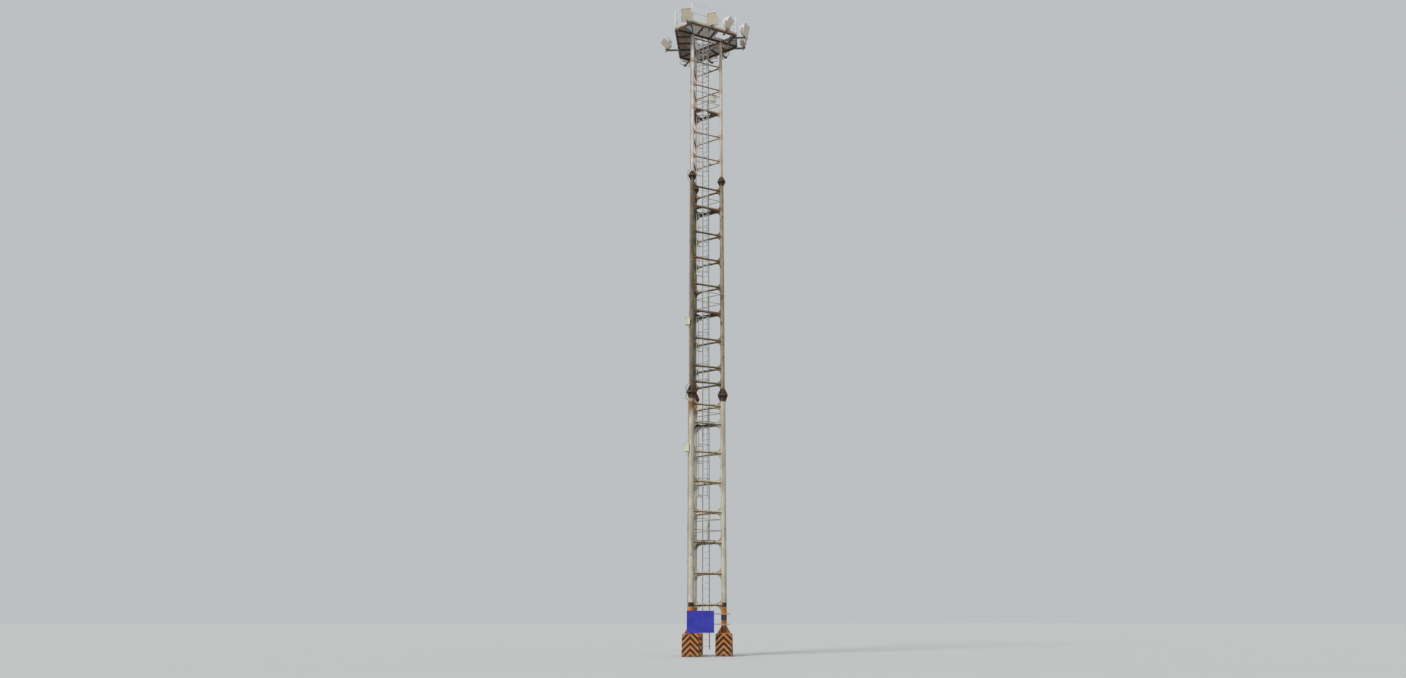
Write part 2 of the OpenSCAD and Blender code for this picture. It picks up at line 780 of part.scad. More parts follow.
module conduit_run(p, q) {
    d = q - p;
    translate([p[0], 0, p[1]]) rotate([0, atan2(d[0], d[1]), 0]) cylinder(h = norm(d), d = conduit_od);
}

module conduit_clip(s, z) {
    back = leg_od[s] / 2 - leg_wall[s] / 2;
    w = conduit_od + rib_t;
    translate([back, -w / 2, z]) cube([conduit_in(s) + w / 2 - back, w, clip_h]);
}

// Tube of the front left leg grown by the weld gap
module leg_space() {
    ends = [0, joint_z[0], joint_z[1], frame_z];
    for (s = [0:2])
        translate([0, 0, ends[s]]) cylinder(h = ends[s + 1] - ends[s], r = leg_od[s] / 2 + cope_gap);
}

module service_box(z) {
    translate([leg_od[section(z)] / 2 + box_stand, -box_size[0] / 2, z])
        cube([box_size[1], box_size[0], box_size[2]]);
}

// Room that a service box takes out of the conduit
module box_space(z) {
    translate([0, -box_size[0] / 2, z - cope_gap])
        cube([2 * box_size[0], box_size[0], box_size[2] + 2 * cope_gap]);
}

// Foot on the leg below the first flange joint, with an arm and a short upright
module side_bracket() {
    r = leg_od[0] / 2;
    z = joint_z[0] - flange_rib_h[0] - 2 * guard_od;
    rotate(side_turn) {
        translate([r - leg_wall[0] / 2, -clip_h, z - clip_h])
            cube([leg_wall[0] / 2 + haunch_t, 2 * clip_h, 2 * clip_h]);
        translate([r, 0, z]) rotate([0, 90, 0]) cylinder(h = side_arm - r, d = tread_d);
        translate([side_arm - tread_d, 0, z - guard_od]) cylinder(h = 12 * guard_od, d = tread_d);
    }
}

// Conduit up the outer side of the front left leg, round its flanges, with elbows and clips
module conduit() {
    last = len(conduit_knees) - 1;
    color([0.42, 0.40, 0.36]) rotate(conduit_turn) difference() {
        union() {
            for (k = [0:last - 1]) conduit_run(conduit_knees[k], conduit_knees[k + 1]);
            for (k = [1:last - 1])
                translate([conduit_knees[k][0], 0, conduit_knees[k][1]]) sphere(d = conduit_od + elbow_grow);
            for (s = [0:2]) {
                start = conduit_knees[4 * s][1] + clip_pitch / 4;
                for (z = [start:clip_pitch:conduit_knees[4 * s + 1][1]]) conduit_clip(s, z);
            }
        }
        leg_space();
        for (z = box_z) box_space(z);
    }
}

// Service boxes in the conduit's run on the front left leg, one on the top guard, and the side arm
module service_boxes() {
    color([0.80, 0.79, 0.74]) {
        rotate(conduit_turn) difference() {
            union() {
                for (z = box_z) {
                    service_box(z);
                    for (b = [0.2, 0.7])
                        translate([leg_od[section(z)] / 2 - 20, -box_size[0] / 3, z + b * box_size[2]])
                            cube([22 + box_stand, box_size[0] * 2 / 3, 30]);
                }
                side_bracket();
            }
            leg_space();
        }
        translate([leg_spacing * 0.68, guard_inset + guard_od / 2 + cope_gap,
            rest_z(4) + grate_h + guard_z[1] + guard_od - box_size[2]])
            cube([box_size[0], box_size[1], box_size[2]]);
    }
}

plinth(0);  // plinth_front_left
plinth(1);  // plinth_front_right
plinth(2);  // plinth_rear
leg_lower(0);  // leg_front_left_lower
leg_middle(0);  // leg_front_left_middle
leg_upper(0);  // leg_front_left_upper
leg_lower(1);  // leg_front_right_lower
leg_middle(1);  // leg_front_right_middle
leg_upper(1);  // leg_front_right_upper
leg_lower(2);  // leg_rear_lower
leg_middle(2);  // leg_rear_middle
leg_upper(2);  // leg_rear_upper
rungs(0);  // rungs_front
rungs(1);  // rungs_right
rungs(2);  // rungs_left
rest_platform(0);  // rest_platform_1
rest_platform(1);  // rest_platform_2
rest_platform(2);  // rest_platform_3
rest_platform(3);  // rest_platform_4
rest_platform(4);  // rest_platform_5
rest_guard(0);  // rest_guard_front
rest_guard(1);  // rest_guard_right
rest_guard(2);  // rest_guard_left
ladder();
ladder_cage();
head_frame();
deck_inner();
deck_walkway(0);  // deck_front
deck_walkway(1);  // deck_right
deck_walkway(2);  // deck_left
handrail(0);  // handrail_front
handrail(1);  // handrail_right
handrail(2);  // handrail_left
light_stirrups();
floodlight(0);  // floodlight_1
floodlight(1);  // floodlight_2
floodlight(2);  // floodlight_3
floodlight(3);  // floodlight_4
floodlight(4);  // floodlight_5
floodlight(5);  // floodlight_6
floodlight(6);  // floodlight_7
floodlight(7);  // floodlight_8
floodlight(8);  // floodlight_9
sign_board();
conduit();
service_boxes();
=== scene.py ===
import json
import math

import bmesh
import bpy
import numpy as np
from mathutils import Matrix, Vector

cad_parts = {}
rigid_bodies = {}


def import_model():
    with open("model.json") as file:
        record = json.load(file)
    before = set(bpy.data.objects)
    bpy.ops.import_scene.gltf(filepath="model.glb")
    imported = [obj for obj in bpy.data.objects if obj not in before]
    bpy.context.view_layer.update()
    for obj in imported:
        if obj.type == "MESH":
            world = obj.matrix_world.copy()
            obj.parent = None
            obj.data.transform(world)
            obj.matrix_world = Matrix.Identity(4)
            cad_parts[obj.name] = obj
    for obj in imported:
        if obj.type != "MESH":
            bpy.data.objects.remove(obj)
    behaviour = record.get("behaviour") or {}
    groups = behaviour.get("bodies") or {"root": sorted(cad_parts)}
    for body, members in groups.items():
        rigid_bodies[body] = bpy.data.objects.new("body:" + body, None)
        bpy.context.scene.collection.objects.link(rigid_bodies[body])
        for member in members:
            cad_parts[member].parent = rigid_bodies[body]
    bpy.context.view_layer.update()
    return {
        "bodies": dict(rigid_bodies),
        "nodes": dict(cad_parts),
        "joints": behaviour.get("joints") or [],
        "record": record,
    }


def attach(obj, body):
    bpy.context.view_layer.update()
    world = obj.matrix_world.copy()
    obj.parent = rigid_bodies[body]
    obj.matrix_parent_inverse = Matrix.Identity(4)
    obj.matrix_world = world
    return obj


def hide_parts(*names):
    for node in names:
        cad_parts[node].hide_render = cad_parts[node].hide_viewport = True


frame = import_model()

print("frame loaded")

# the tower's own measures, in metres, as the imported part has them
tower = {
    "spacing": 1.785,
    "bay": 1.5,
    "firstRung": 2.4,
    "rungs": 22,
    "joints": (12.95, 25.17),
    "jointRungs": (7, 15),
    "endRungGap": 0.59,
    "legRadius": (0.1365, 0.10955, 0.08415),
    "rungRadius": (0.05715, 0.0508, 0.03815),
    "haunch": (0.33, 0.27, 0.225),
    "plinthTurn": 60.0,
    "baseTop": 1.082,
    "frameZ": 34.05,
    "deckZ": 34.17,
    "deckTop": 34.202,
    "grateDepth": 0.032,
    "deckReach": 1.0,
    "cornerSide": 1.2,
}
legNames = ("front_left", "front_right", "rear")
faceNames = ("front", "right", "left")
ladderTurn = 30
slant = math.cos(math.radians(30))
faceReach = tower["spacing"] / math.sqrt(3) / 2
legReach = 2 * faceReach
centre = np.array([tower["spacing"] / 2, faceReach])
longReach = faceReach + tower["deckReach"]
shortReach = 2 * longReach - tower["cornerSide"] * slant


def ray(angle):
    return np.array([math.cos(math.radians(angle)), math.sin(math.radians(angle))])


def turned(point, angle):
    c, s = ray(angle)
    return np.array([point[0] * c - point[1] * s, point[0] * s + point[1] * c])


legPlaces = [centre + legReach * ray(210 + 120 * leg) for leg in range(3)]


def tint(red, green, blue):
    # a screen colour in 0-255 as the linear colour that renders like it
    def linear(value):
        value /= 255
        return value / 12.92 if value <= 0.04045 else ((value + 0.055) / 1.055) ** 2.4

    return (linear(red), linear(green), linear(blue), 1.0)


class Wire:
    # one output socket; sums, products and comparisons with it add Math nodes
    def __init__(self, shader, socket):
        self.shader = shader
        self.socket = socket

    def maths(self, operation, first, second=0.0):
        return self.shader.node("Math", {"operation": operation}, {0: first, 1: second})

    def __add__(self, other):
        return self.maths("ADD", self, other)

    __radd__ = __add__

    def __sub__(self, other):
        return self.maths("SUBTRACT", self, other)

    def __rsub__(self, other):
        return self.maths("SUBTRACT", other, self)

    def __mul__(self, other):
        return self.maths("MULTIPLY", self, other)

    __rmul__ = __mul__

    def __pow__(self, other):
        return self.maths("POWER", self, other)

    def __mod__(self, other):
        return self.maths("FLOORED_MODULO", self, other)

    def __gt__(self, other):
        return self.maths("GREATER_THAN", self, other)

    def __lt__(self, other):
        return self.maths("LESS_THAN", self, other)

    def __abs__(self):
        return self.maths("ABSOLUTE", self)

    def larger(self, other):
        return self.maths("MAXIMUM", self, other)

    def smaller(self, other):
        return self.maths("MINIMUM", self, other)


class Shader:
    # a node tree; node() adds any node to it
    def __init__(self, tree):
        self.tree = tree

    def feed(self, socket, value):
        if isinstance(value, Wire):
            self.tree.links.new(value.socket, socket)
        else:
            socket.default_value = value

    def node(self, kind, settings=None, inputs=None, output=0):
        made = self.tree.nodes.new("ShaderNode" + kind)
        for key, value in (settings or {}).items():
            setattr(made, key, value)
        for key, value in (inputs or {}).items():
            self.feed(made.inputs[key], value)
        return Wire(self, made.outputs[output])


class Finish(Shader):
    # one material, with the steps that this tower's finishes use most
    def __init__(self, name, roughness=0.6, metallic=0.0):
        self.material = bpy.data.materials.new(name)
        self.material.use_nodes = True
        super().__init__(self.material.node_tree)
        self.surface = self.tree.nodes["Principled BSDF"]
        self.set("Roughness", roughness)
        self.set("Metallic", metallic)
        self.place = self.node("TexCoord", output="Object")
        self.x, self.y, self.z = self.parts(self.place)

    def set(self, name, value):
        self.feed(self.surface.inputs[name], value)

    def parts(self, vector):
        first = self.node("SeparateXYZ", None, {0: vector})
        return [Wire(self, socket) for socket in first.socket.node.outputs]

    def noise(self, scale, detail=4.0, rough=0.55, stretch=(1, 1, 1), shift=0.0):
        where = self.node("VectorMath", {"operation": "MULTIPLY_ADD"},
                          {0: self.place, 1: stretch, 2: (shift, shift * 0.7, shift * 1.3)})
        return self.node("TexNoise", None, {"Vector": where, "Scale": scale, "Detail": detail, "Roughness": rough})

    def step(self, value, low, high):
        return self.node("MapRange", {"interpolation_type": "SMOOTHSTEP"},
                         {"Value": value, "From Min": low, "From Max": high})

    def mix(self, share, first, second):
        return self.node("Mix", {"data_type": "RGBA"}, {0: share, 6: first, 7: second}, output=2)

    def facing(self):
        # how far the surface faces up, from -1 to 1, in the piece's own frame
        return self.parts(self.node("TexCoord", output="Normal"))[2]

    def bump(self, height, distance, strength=1.0):
        self.set("Normal", self.node("Bump", None, {"Height": height, "Distance": distance, "Strength": strength}))

    def between(self, low, high):
        # 1 between two heights, 0 elsewhere
        return (self.z > low) * (self.z < high)


rust = {"deep": tint(74, 42, 26), "warm": tint(134, 82, 42)}
# what every old paint has unless its own settings say otherwise
# the below settings are painted shade on surfaces that face down, mixed with rust
oldPaint = {
    "fade": (0.36, 0.64), "cloudScale": 1.3, "spotScale": 5.0, "below": None, "shadeBelowMiddle": None, "belowFrom": -0.1,
    "belowTo": 0.6, "shadeBelowShare": 0.85, "rustAt": (), "rustShare": 0.9, "roughness": 0.42,
}


def weathered(name, look, recolour=None):
    # old paint: faded patches, dark runs, rust in spots, and painted shade on surfaces that face down, worn through to
    # rust
    look = {**oldPaint, **look}
    paint, faded, runColour = [tint(*colour) for colour in look["colours"]]
    finish = Finish(name)
    clouds = finish.noise(look["cloudScale"], 5, 0.6, shift=look["seed"])
    runs = finish.noise(6.0, 4, 0.6, (1, 1, 0.045), look["seed"] + 3)
    spots = finish.noise(look["spotScale"], 7, 0.68, (1, 1, 0.6), look["seed"] + 7)
    grain = finish.noise(60, 3, 0.6)
    colour = finish.mix(finish.step(clouds, *look["fade"]), paint, faded)
    if recolour:
        colour = recolour(finish, colour, clouds)
    colour = finish.mix(finish.step(runs, 0.5, 0.74) * look["runs"], colour, runColour)
    rustColour = finish.mix(finish.step(grain, 0.35, 0.65), rust["deep"], rust["warm"])
    spotMask = finish.step(spots, 0.66 - look["rust"], 0.72 - look["rust"] * 0.9)
    # painted shade: surfaces that face down take the below colour as shade, worn through to rust in patches
    if look["below"]:
        under = finish.step(0.0 - finish.facing(), look["belowFrom"], look["belowTo"])
        worn = finish.step(clouds * 0.5 + grain * 0.5, 0.3, 0.62)
        shadeAndRustBelow = finish.mix(worn, tint(*look["below"]), rust["deep"])
        if look["shadeBelowMiddle"]:
            # painted shade: the shade under downward faces is darker still in the middle section of the tower
            shadeAndRustBelow = finish.mix(finish.between(*tower["joints"]) * 0.85, shadeAndRustBelow, tint(*look["shadeBelowMiddle"]))
        colour = finish.mix(under * look["shadeBelowShare"], colour, shadeAndRustBelow)
    for low, high, soft, share in look["rustAt"]:
        band = finish.step(finish.z, low - soft, low) * (1 - finish.step(finish.z, high, high + soft))
        spotMask = spotMask.larger(band * finish.step(spots * 0.6 + runs * 0.4, 0.58 - share, 0.68 - share * 0.8))
    colour = finish.mix(spotMask * look["rustShare"], colour, rustColour)
    finish.set("Base Color", colour)
    finish.set("Roughness", finish.step(spotMask + clouds * 0.4, -0.4, 1.4) * 0.45 + look["roughness"])
    finish.bump(grain * 0.3 + spotMask * 0.7, 0.002, 0.6)
    return finish


# the colours are the paint, the faded paint and the runs down it
legPaints = {
    "lower": {"colours": ((180, 171, 150), (198, 190, 173), (104, 90, 68)), "runs": 0.8, "rust": 0.05},
    "middle": {"colours": ((84, 76, 53), (116, 105, 78), (160, 148, 120)), "runs": 0.5, "rust": 0.12, "rustShare": 0.7},
    "middleRight": {"colours": ((142, 127, 97), (164, 149, 118), (96, 80, 56)), "runs": 0.8, "rust": 0.12},
    "upper": {"colours": ((196, 187, 178), (214, 208, 202), (142, 122, 102)), "runs": 0.7, "rust": 0.06},
    "upperRight": {"colours": ((190, 174, 150), (208, 196, 176), (136, 112, 84)), "runs": 0.7, "rust": 0.07},
}
hazard = {
    "orange": tint(190, 99, 3),
    "yellow": tint(206, 124, 14),
    "black": tint(28, 20, 22),
    "bands": ((1.0, 1.38), (1.67, 1.93), (2.3, 2.5)),
    "orangeTop": 2.5,
    "skin": 0.004,
    "jointHalf": (0.36, 0.29),
    "jointColour": tint(78, 58, 42),
    "nodeColour": tint(176, 138, 112),
    "nodeHalf": 0.24,
    "stainHeights": (11.1, 12.5),
    "stainColour": tint(150, 102, 42),
    "rustAt": (12.25, 12.7, 0.25, 0.2),
}


def jointDark(finish, colour, clouds):
    # flanges and their stiffeners are dark brown
    for z, half in zip(tower["joints"], hazard["jointHalf"]):
        near = 1 - finish.step(abs(finish.z - z), half - 0.05, half + 0.03)
        colour = finish.mix(near * finish.step(clouds, 0.22, 0.4), colour, hazard["jointColour"])
    return colour


def hazardBands(leg):
    def recolour(finish, colour, clouds):
        x, y = legPlaces[leg]
        fromAxis = ((finish.x - x) ** 2 + (finish.y - y) ** 2) ** 0.5
        orange = finish.mix(finish.step(clouds, 0.4, 0.6), hazard["orange"], hazard["yellow"])
        colour = finish.mix(finish.z < hazard["orangeTop"], colour, orange)
        first, second, third = [finish.between(*band) for band in hazard["bands"]]
        # black on the tube, not on the stiffeners
        dark = (first + second + third) * (fromAxis < tower["legRadius"][0] + hazard["skin"])
        colour = finish.mix(dark, colour, hazard["black"])
        if leg == 0:
            # yellow-brown stain that runs down from the first flange
            low, high = hazard["stainHeights"]
            streaks = finish.noise(7.0, 4, 0.6, (1, 1, 0.08), 21)
            fade = finish.step(finish.z, low, high - 0.2) * (1 - finish.step(finish.z, high - 0.1, high + 0.06))
            colour = finish.mix(finish.step(streaks + fade * 0.35, 0.6, 0.8) * fade, colour, hazard["stainColour"])
        return jointDark(finish, colour, clouds)
    return recolour


def upperNodes(finish, colour, clouds):
    # the upper legs are pinkish brown round each rung
    along = abs((finish.z - tower["firstRung"] + tower["bay"] / 2) % tower["bay"] - tower["bay"] / 2)
    near = 1 - finish.step(along, hazard["nodeHalf"] * 0.4, hazard["nodeHalf"])
    colour = finish.mix(near * finish.step(clouds, 0.36, 0.54) * 0.55, colour, hazard["nodeColour"])
    return jointDark(finish, colour, clouds)


nodeFinishes = {}
for leg, name in enumerate(legNames):
    for part, seed, recolour in (("lower", 1, hazardBands(leg)), ("middle", 5, jointDark), ("upper", 8, upperNodes)):
        paint = part + "Right" if leg == 1 and part != "lower" else part
        look = dict(legPaints[paint], seed=seed + leg)
        if leg == 0 and part == "lower":
            look["rustAt"] = (hazard["rustAt"],)
        nodeFinishes["leg_" + name + "_" + part] = weathered(part + "LegPaint" + str(leg), look, recolour)

# paint and faded paint of the rungs in the middle and the upper section
rungColours = (((116, 96, 68), (148, 126, 96)), ((190, 164, 144), (212, 196, 182)))


def rungSections(finish, colour, clouds):
    # the rungs of each section have their leg's colours
    for z, (paint, faded) in zip(tower["joints"], rungColours):
        there = finish.mix(finish.step(clouds, 0.4, 0.6), tint(*paint), tint(*faded))
        colour = finish.mix(finish.z > z, colour, there)
    return colour


ladderLook = {"treadHalf": 0.194, "tread": tint(218, 213, 200)}
railLook = {"toeHigh": 0.1215, "toe": tint(196, 178, 146), "toePink": tint(212, 188, 172)}
signLook = {"boardFront": -0.36175, "boardRight": 1.0605, "blue": tint(42, 44, 166), "pale": tint(62, 66, 194)}


def ladderParts(finish, colour, clouds):
    # light treads between dark stringers
    c, s = ray(ladderTurn)
    across = (finish.x - centre[0]) * -s + (finish.y - centre[1]) * c
    return finish.mix(abs(across) > ladderLook["treadHalf"], ladderLook["tread"], colour)


def railParts(finish, colour, clouds):
    # toe boards are beige and pinkish, the rails above them whitish
    toe = finish.mix(finish.step(clouds, 0.38, 0.62), railLook["toe"], railLook["toePink"])
    return finish.mix(finish.z < tower["deckTop"] + railLook["toeHigh"], colour, toe)


def signParts(finish, colour, clouds):
    blue = finish.mix(finish.step(clouds, 0.35, 0.65), signLook["blue"], signLook["pale"])
    board = (finish.y < signLook["boardFront"]) * (finish.x < signLook["boardRight"])
    return finish.mix(board, colour, blue)


paints = {
    # rungs: the below colours are painted shade under them, darkest in the middle section, mixed with rust
    "rungPaint": {"colours": ((186, 174, 146), (208, 200, 178), (128, 96, 54)), "runs": 0.6, "rust": 0.1,
                  "fade": (0.4, 0.6), "below": (98, 70, 42), "shadeBelowMiddle": (44, 33, 22), "belowFrom": 0.02,
                  "belowTo": 0.42, "seed": 12},
    "gratingSteel": {"colours": ((72, 62, 48), (94, 84, 66), (60, 44, 30)), "runs": 0.4, "rust": 0.12, "seed": 20},
    # guard: the below colour is painted shade on its undersides, mixed with rust
    "guardPaint": {"colours": ((176, 168, 146), (200, 192, 172), (128, 100, 66)), "runs": 0.5, "rust": 0.06,
                   "below": (132, 104, 74), "shadeBelowShare": 0.6, "seed": 24},
    "headFramePaint": {"colours": ((74, 58, 44), (96, 78, 58), (52, 38, 28)), "runs": 0.5, "rust": 0.1,
                       "rustShare": 0.75, "seed": 30},
    "ladderPaint": {"colours": ((150, 142, 128), (176, 168, 154), (106, 88, 68)), "runs": 0.5, "rust": 0.05,
                    "seed": 34},
    "treadPaint": {"colours": ((218, 214, 202), (232, 229, 221), (150, 138, 118)), "runs": 0.4, "rust": 0.03,
                   "cloudScale": 6.0, "seed": 38},
    "cagePaint": {"colours": ((188, 186, 178), (204, 203, 198), (140, 120, 92)), "runs": 0.4, "rust": 0.05, "seed": 36},
    "handrailPaint": {"colours": ((226, 227, 230), (238, 239, 243), (178, 158, 140)), "runs": 0.45, "rust": 0.04,
                      "seed": 40},
    "galvanisedSteel": {"colours": ((150, 146, 134), (172, 168, 156), (112, 92, 66)), "runs": 0.5, "rust": 0.08,
                        "roughness": 0.35, "seed": 44},
    "boltSteel": {"colours": ((104, 92, 76), (128, 118, 100), (90, 60, 40)), "runs": 0.4, "rust": 0.14,
                  "cloudScale": 9.0, "seed": 47},
    "boxPaint": {"colours": ((208, 206, 178), (222, 220, 196), (150, 128, 98)), "runs": 0.5, "rust": 0.03, "seed": 50},
    "conduitPaint": {"colours": ((160, 152, 134), (182, 175, 158), (96, 80, 58)), "runs": 0.6, "rust": 0.07,
                     "roughness": 0.38, "seed": 52},
    "signPaint": {"colours": ((160, 152, 126), (184, 176, 152), (92, 96, 140)), "runs": 0.16, "rust": 0.0,
                  "rustShare": 0.0, "seed": 54},
    # lamp housings: the below colour is painted shade on their undersides
    "lightHousingPaint": {"colours": ((206, 203, 196), (224, 222, 222), (150, 138, 112)), "runs": 0.5, "rust": 0.0,
                          "cloudScale": 5.0, "spotScale": 18.0, "below": (168, 156, 128), "shadeBelowShare": 0.6,
                          "seed": 60},
    # lamp rims: whitish paint, made whiter and bluer as painted sky and sun light on the lamps' tops and sides
    "rimPaintAndPaintedSkyLight": {"colours": ((222, 221, 224), (234, 233, 238), (178, 168, 146)), "runs": 0.4, "rust": 0.0,
                      "cloudScale": 6.0, "spotScale": 18.0, "seed": 64},
}
recolours = {"rungPaint": rungSections, "ladderPaint": ladderParts, "handrailPaint": railParts, "signPaint": signParts}
finishes = {name: weathered(name, look, recolours.get(name)) for name, look in paints.items()}


glassLook = {"film": tint(228, 217, 190), "thick": tint(216, 202, 170), "runs": tint(172, 154, 118), "roughness": 0.2,
             "clearest": 0.88, "coat": 0.6, "coatRoughness": 0.08}
dust = tint(150, 138, 116)


def dustyGlass():
    # old glass: an amber dust film over most of it, clearer in patches
    finish = Finish("dustyGlass")
    clouds = finish.noise(6.0, 5, 0.6)
    film = finish.mix(finish.step(clouds, 0.35, 0.65), glassLook["film"], glassLook["thick"])
    runs = finish.step(finish.noise(24.0, 4, 0.6, (1, 1, 0.12)), 0.5, 0.72)
    finish.set("Base Color", finish.mix(runs * 0.4, film, glassLook["runs"]))
    finish.set("Roughness", finish.step(clouds, 0.2, 0.8) * 0.3 + glassLook["roughness"])
    finish.set("Alpha", finish.step(clouds, 0.25, 0.75) * 0.1 + glassLook["clearest"])
    finish.set("Coat Weight", glassLook["coat"])
    finish.set("Coat Roughness", glassLook["coatRoughness"])
    return finish


def polished(name, colour, roughness, metallic):
    finish = Finish(name, roughness, metallic)
    clouds = finish.noise(9.0, 4)
    finish.set("Base Color", finish.mix(finish.step(clouds, 0.35, 0.7) * 0.35, colour, dust))
    finish.set("Roughness", finish.step(clouds, 0.2, 0.8) * 0.25 + roughness)
    finish.bump(finish.noise(70.0, 2), 0.0006, 0.4)
    return finish


plinthLook = {"period": 0.275, "dirtTop": 0.22, "darkShare": 0.57, "soft": 0.006, "orange": tint(190, 116, 36),
              "worn": tint(195, 138, 74), "dark": tint(52, 13, 8), "dull": tint(78, 34, 22),
              "chip": tint(158, 148, 130), "stain": tint(96, 80, 60), "dirt": tint(112, 96, 74)}


def plinthFinish(leg):
    # chevrons that peak at the middle of each face, chipped and dirty
    finish = Finish("plinthPaint" + str(leg), 0.8)
    x, y = legPlaces[leg]
    c, s = ray(-tower["plinthTurn"])
    dx, dy = finish.x - x, finish.y - y
    u, v = abs(dx * c - dy * s), abs(dx * s + dy * c)
    wobble = finish.noise(3.0, 3) * 0.03
    lines = (finish.z + u.smaller(v) + wobble) % plinthLook["period"]
    darkEnd = plinthLook["period"] * plinthLook["darkShare"]
    stripe = finish.step(lines, darkEnd - plinthLook["soft"], darkEnd + plinthLook["soft"])
    clouds = finish.noise(4.0, 6, 0.6)
    orange = finish.mix(finish.step(clouds, 0.38, 0.62), plinthLook["orange"], plinthLook["worn"])
    dark = finish.mix(finish.step(clouds, 0.4, 0.7), plinthLook["dark"], plinthLook["dull"])
    colour = finish.mix(stripe, dark, orange)
    chips = finish.step(finish.noise(16.0, 8, 0.7), 0.62, 0.66)
    colour = finish.mix(chips, colour, plinthLook["chip"])
    stains = finish.step(finish.noise(5.0, 5, 0.6, (1, 1, 0.15), 5), 0.5, 0.72)
    colour = finish.mix(stains * 0.45, colour, plinthLook["stain"])
    dirt = (1 - finish.step(finish.z, 0.0, plinthLook["dirtTop"])) * finish.step(finish.noise(9.0, 5), 0.3, 0.7)
    finish.set("Base Color", finish.mix(dirt * 0.7, colour, plinthLook["dirt"]))
    finish.bump(finish.noise(40.0, 5, 0.6) - chips * 0.8, 0.004, 0.7)
    return finish


lightFinishes = {
    "housing": finishes["lightHousingPaint"], "bezel": finishes["rimPaintAndPaintedSkyLight"], "gear": finishes["lightHousingPaint"],
    "reflector": polished("reflectorAluminium", tint(214, 212, 206), 0.2, 0.9), "glass": dustyGlass(),
    "seal": polished("glassSeal", tint(46, 44, 42), 0.7, 0.0),
}
for leg, name in enumerate(legNames):
    nodeFinishes["plinth_" + name] = plinthFinish(leg)
# which finish the other nodes have, by the start of their name
plainFinishes = {
    "rungs": "rungPaint", "rest_platform": "gratingSteel", "deck": "gratingSteel", "rest_guard": "guardPaint",
    "ladder_cage": "cagePaint", "ladder": "ladderPaint", "head_frame": "headFramePaint", "handrail": "handrailPaint",
    "light_stirrups": "galvanisedSteel", "floodlight": "boxPaint", "sign_board": "signPaint",
    "conduit": "conduitPaint", "service_boxes": "boxPaint",
}
for name, node in frame["nodes"].items():
    made = nodeFinishes.get(name) or finishes[next(plainFinishes[key] for key in plainFinishes if name.startswith(key))]
    node.data.materials.clear()
    node.data.materials.append(made.material)
print("finishes on", len(frame["nodes"]), "nodes")


# a shape is an array of points and a list of faces
def loft(loops, ring=False):
    # skin over loops of equally many points, capped unless it closes on itself
    rows, count = len(loops), len(loops[0])
    faces = []
    for row in range(rows if ring else rows - 1):
        here, there = row * count, (row + 1) % rows * count
        faces += [(here + k, here + (k + 1) % count, there + (k + 1) % count, there + k) for k in range(count)]
    if not ring:
        faces += [tuple(range(count))[::-1], tuple(range((rows - 1) * count, rows * count))]
    return np.concatenate(loops), faces


def lathe(profile, sides=16):
    # turned about z through a profile of (radius, z) points
    angles = (np.arange(sides) + 0.5) * 2 * math.pi / sides
    x, y = np.cos(angles), np.sin(angles)
    return loft([np.stack([radius * x, radius * y, np.full(sides, z)], 1) for radius, z in profile])


def rod(radius, length, sides=12):
    # round bar up from the origin, its ends bevelled a little
    edge = min(radius, length) * 0.15
    return lathe([(radius - edge, 0), (radius, edge), (radius, length - edge), (radius - edge, length)], sides)


def rectangle(low, high, z, cut=0.0):
    # level outline, with its corners cut off where a cut is given
    (x0, y0), (x1, y1) = low, high
    if not cut:
        return np.array([(x0, y0, z), (x1, y0, z), (x1, y1, z), (x0, y1, z)])
    return np.array([(x0 + cut, y0, z), (x1 - cut, y0, z), (x1, y0 + cut, z), (x1, y1 - cut, z),
                     (x1 - cut, y1, z), (x0 + cut, y1, z), (x0, y1 - cut, z), (x0, y0 + cut, z)])


def slab(corner, opposite, edge=0.0):
    # block between two opposite corners, with its arrises cut back by edge
    low, high = np.minimum(corner, opposite), np.maximum(corner, opposite)
    if not edge:
        return loft([rectangle(low[:2], high[:2], low[2]), rectangle(low[:2], high[:2], high[2])])
    inLow, inHigh = low[:2] + edge, high[:2] - edge
    return loft([rectangle(inLow, inHigh, low[2], edge), rectangle(low[:2], high[:2], low[2] + edge, edge),
                 rectangle(low[:2], high[:2], high[2] - edge, edge), rectangle(inLow, inHigh, high[2], edge)])


def prism(outline, low, high, axis):
    # solid over an outline that lies across an axis (0 is x, 1 is y), from low to high along it
    return loft([np.insert(np.array(outline, float), axis, along, 1) for along in (low, high)])


def sweep(path, radius, sides=6, closed=False):
    # tube along a path, which doesn't twist from one point to the next
    path = np.array(path, float)
    ahead = np.roll(path, -1, 0) - np.roll(path, 1, 0) if closed else np.gradient(path, axis=0)
    ahead /= np.linalg.norm(ahead, axis=1)[:, None]
    side = np.cross(ahead[0], (0, 0, 1) if abs(ahead[0][2]) < 0.9 else (1, 0, 0))
    angles = np.arange(sides)[:, None] * 2 * math.pi / sides
    loops = []
    for point, forward in zip(path, ahead):
        side = side - forward * side.dot(forward)
        side /= np.linalg.norm(side)
        loops.append(point + radius * (np.cos(angles) * side + np.sin(angles) * np.cross(forward, side)))
    return loft(loops, closed)


def place(x=0.0, y=0.0, z=0.0, turn=0.0, tilt=0.0, roll=0.0):
    return (Matrix.Translation((x, y, z)) @ Matrix.Rotation(math.radians(turn), 4, "Z")
            @ Matrix.Rotation(math.radians(tilt), 4, "X") @ Matrix.Rotation(math.radians(roll), 4, "Y"))


def moved(shape, matrix):
    matrix = np.array(matrix)
    return shape[0] @ matrix[:3, :3].T + matrix[:3, 3], shape[1]


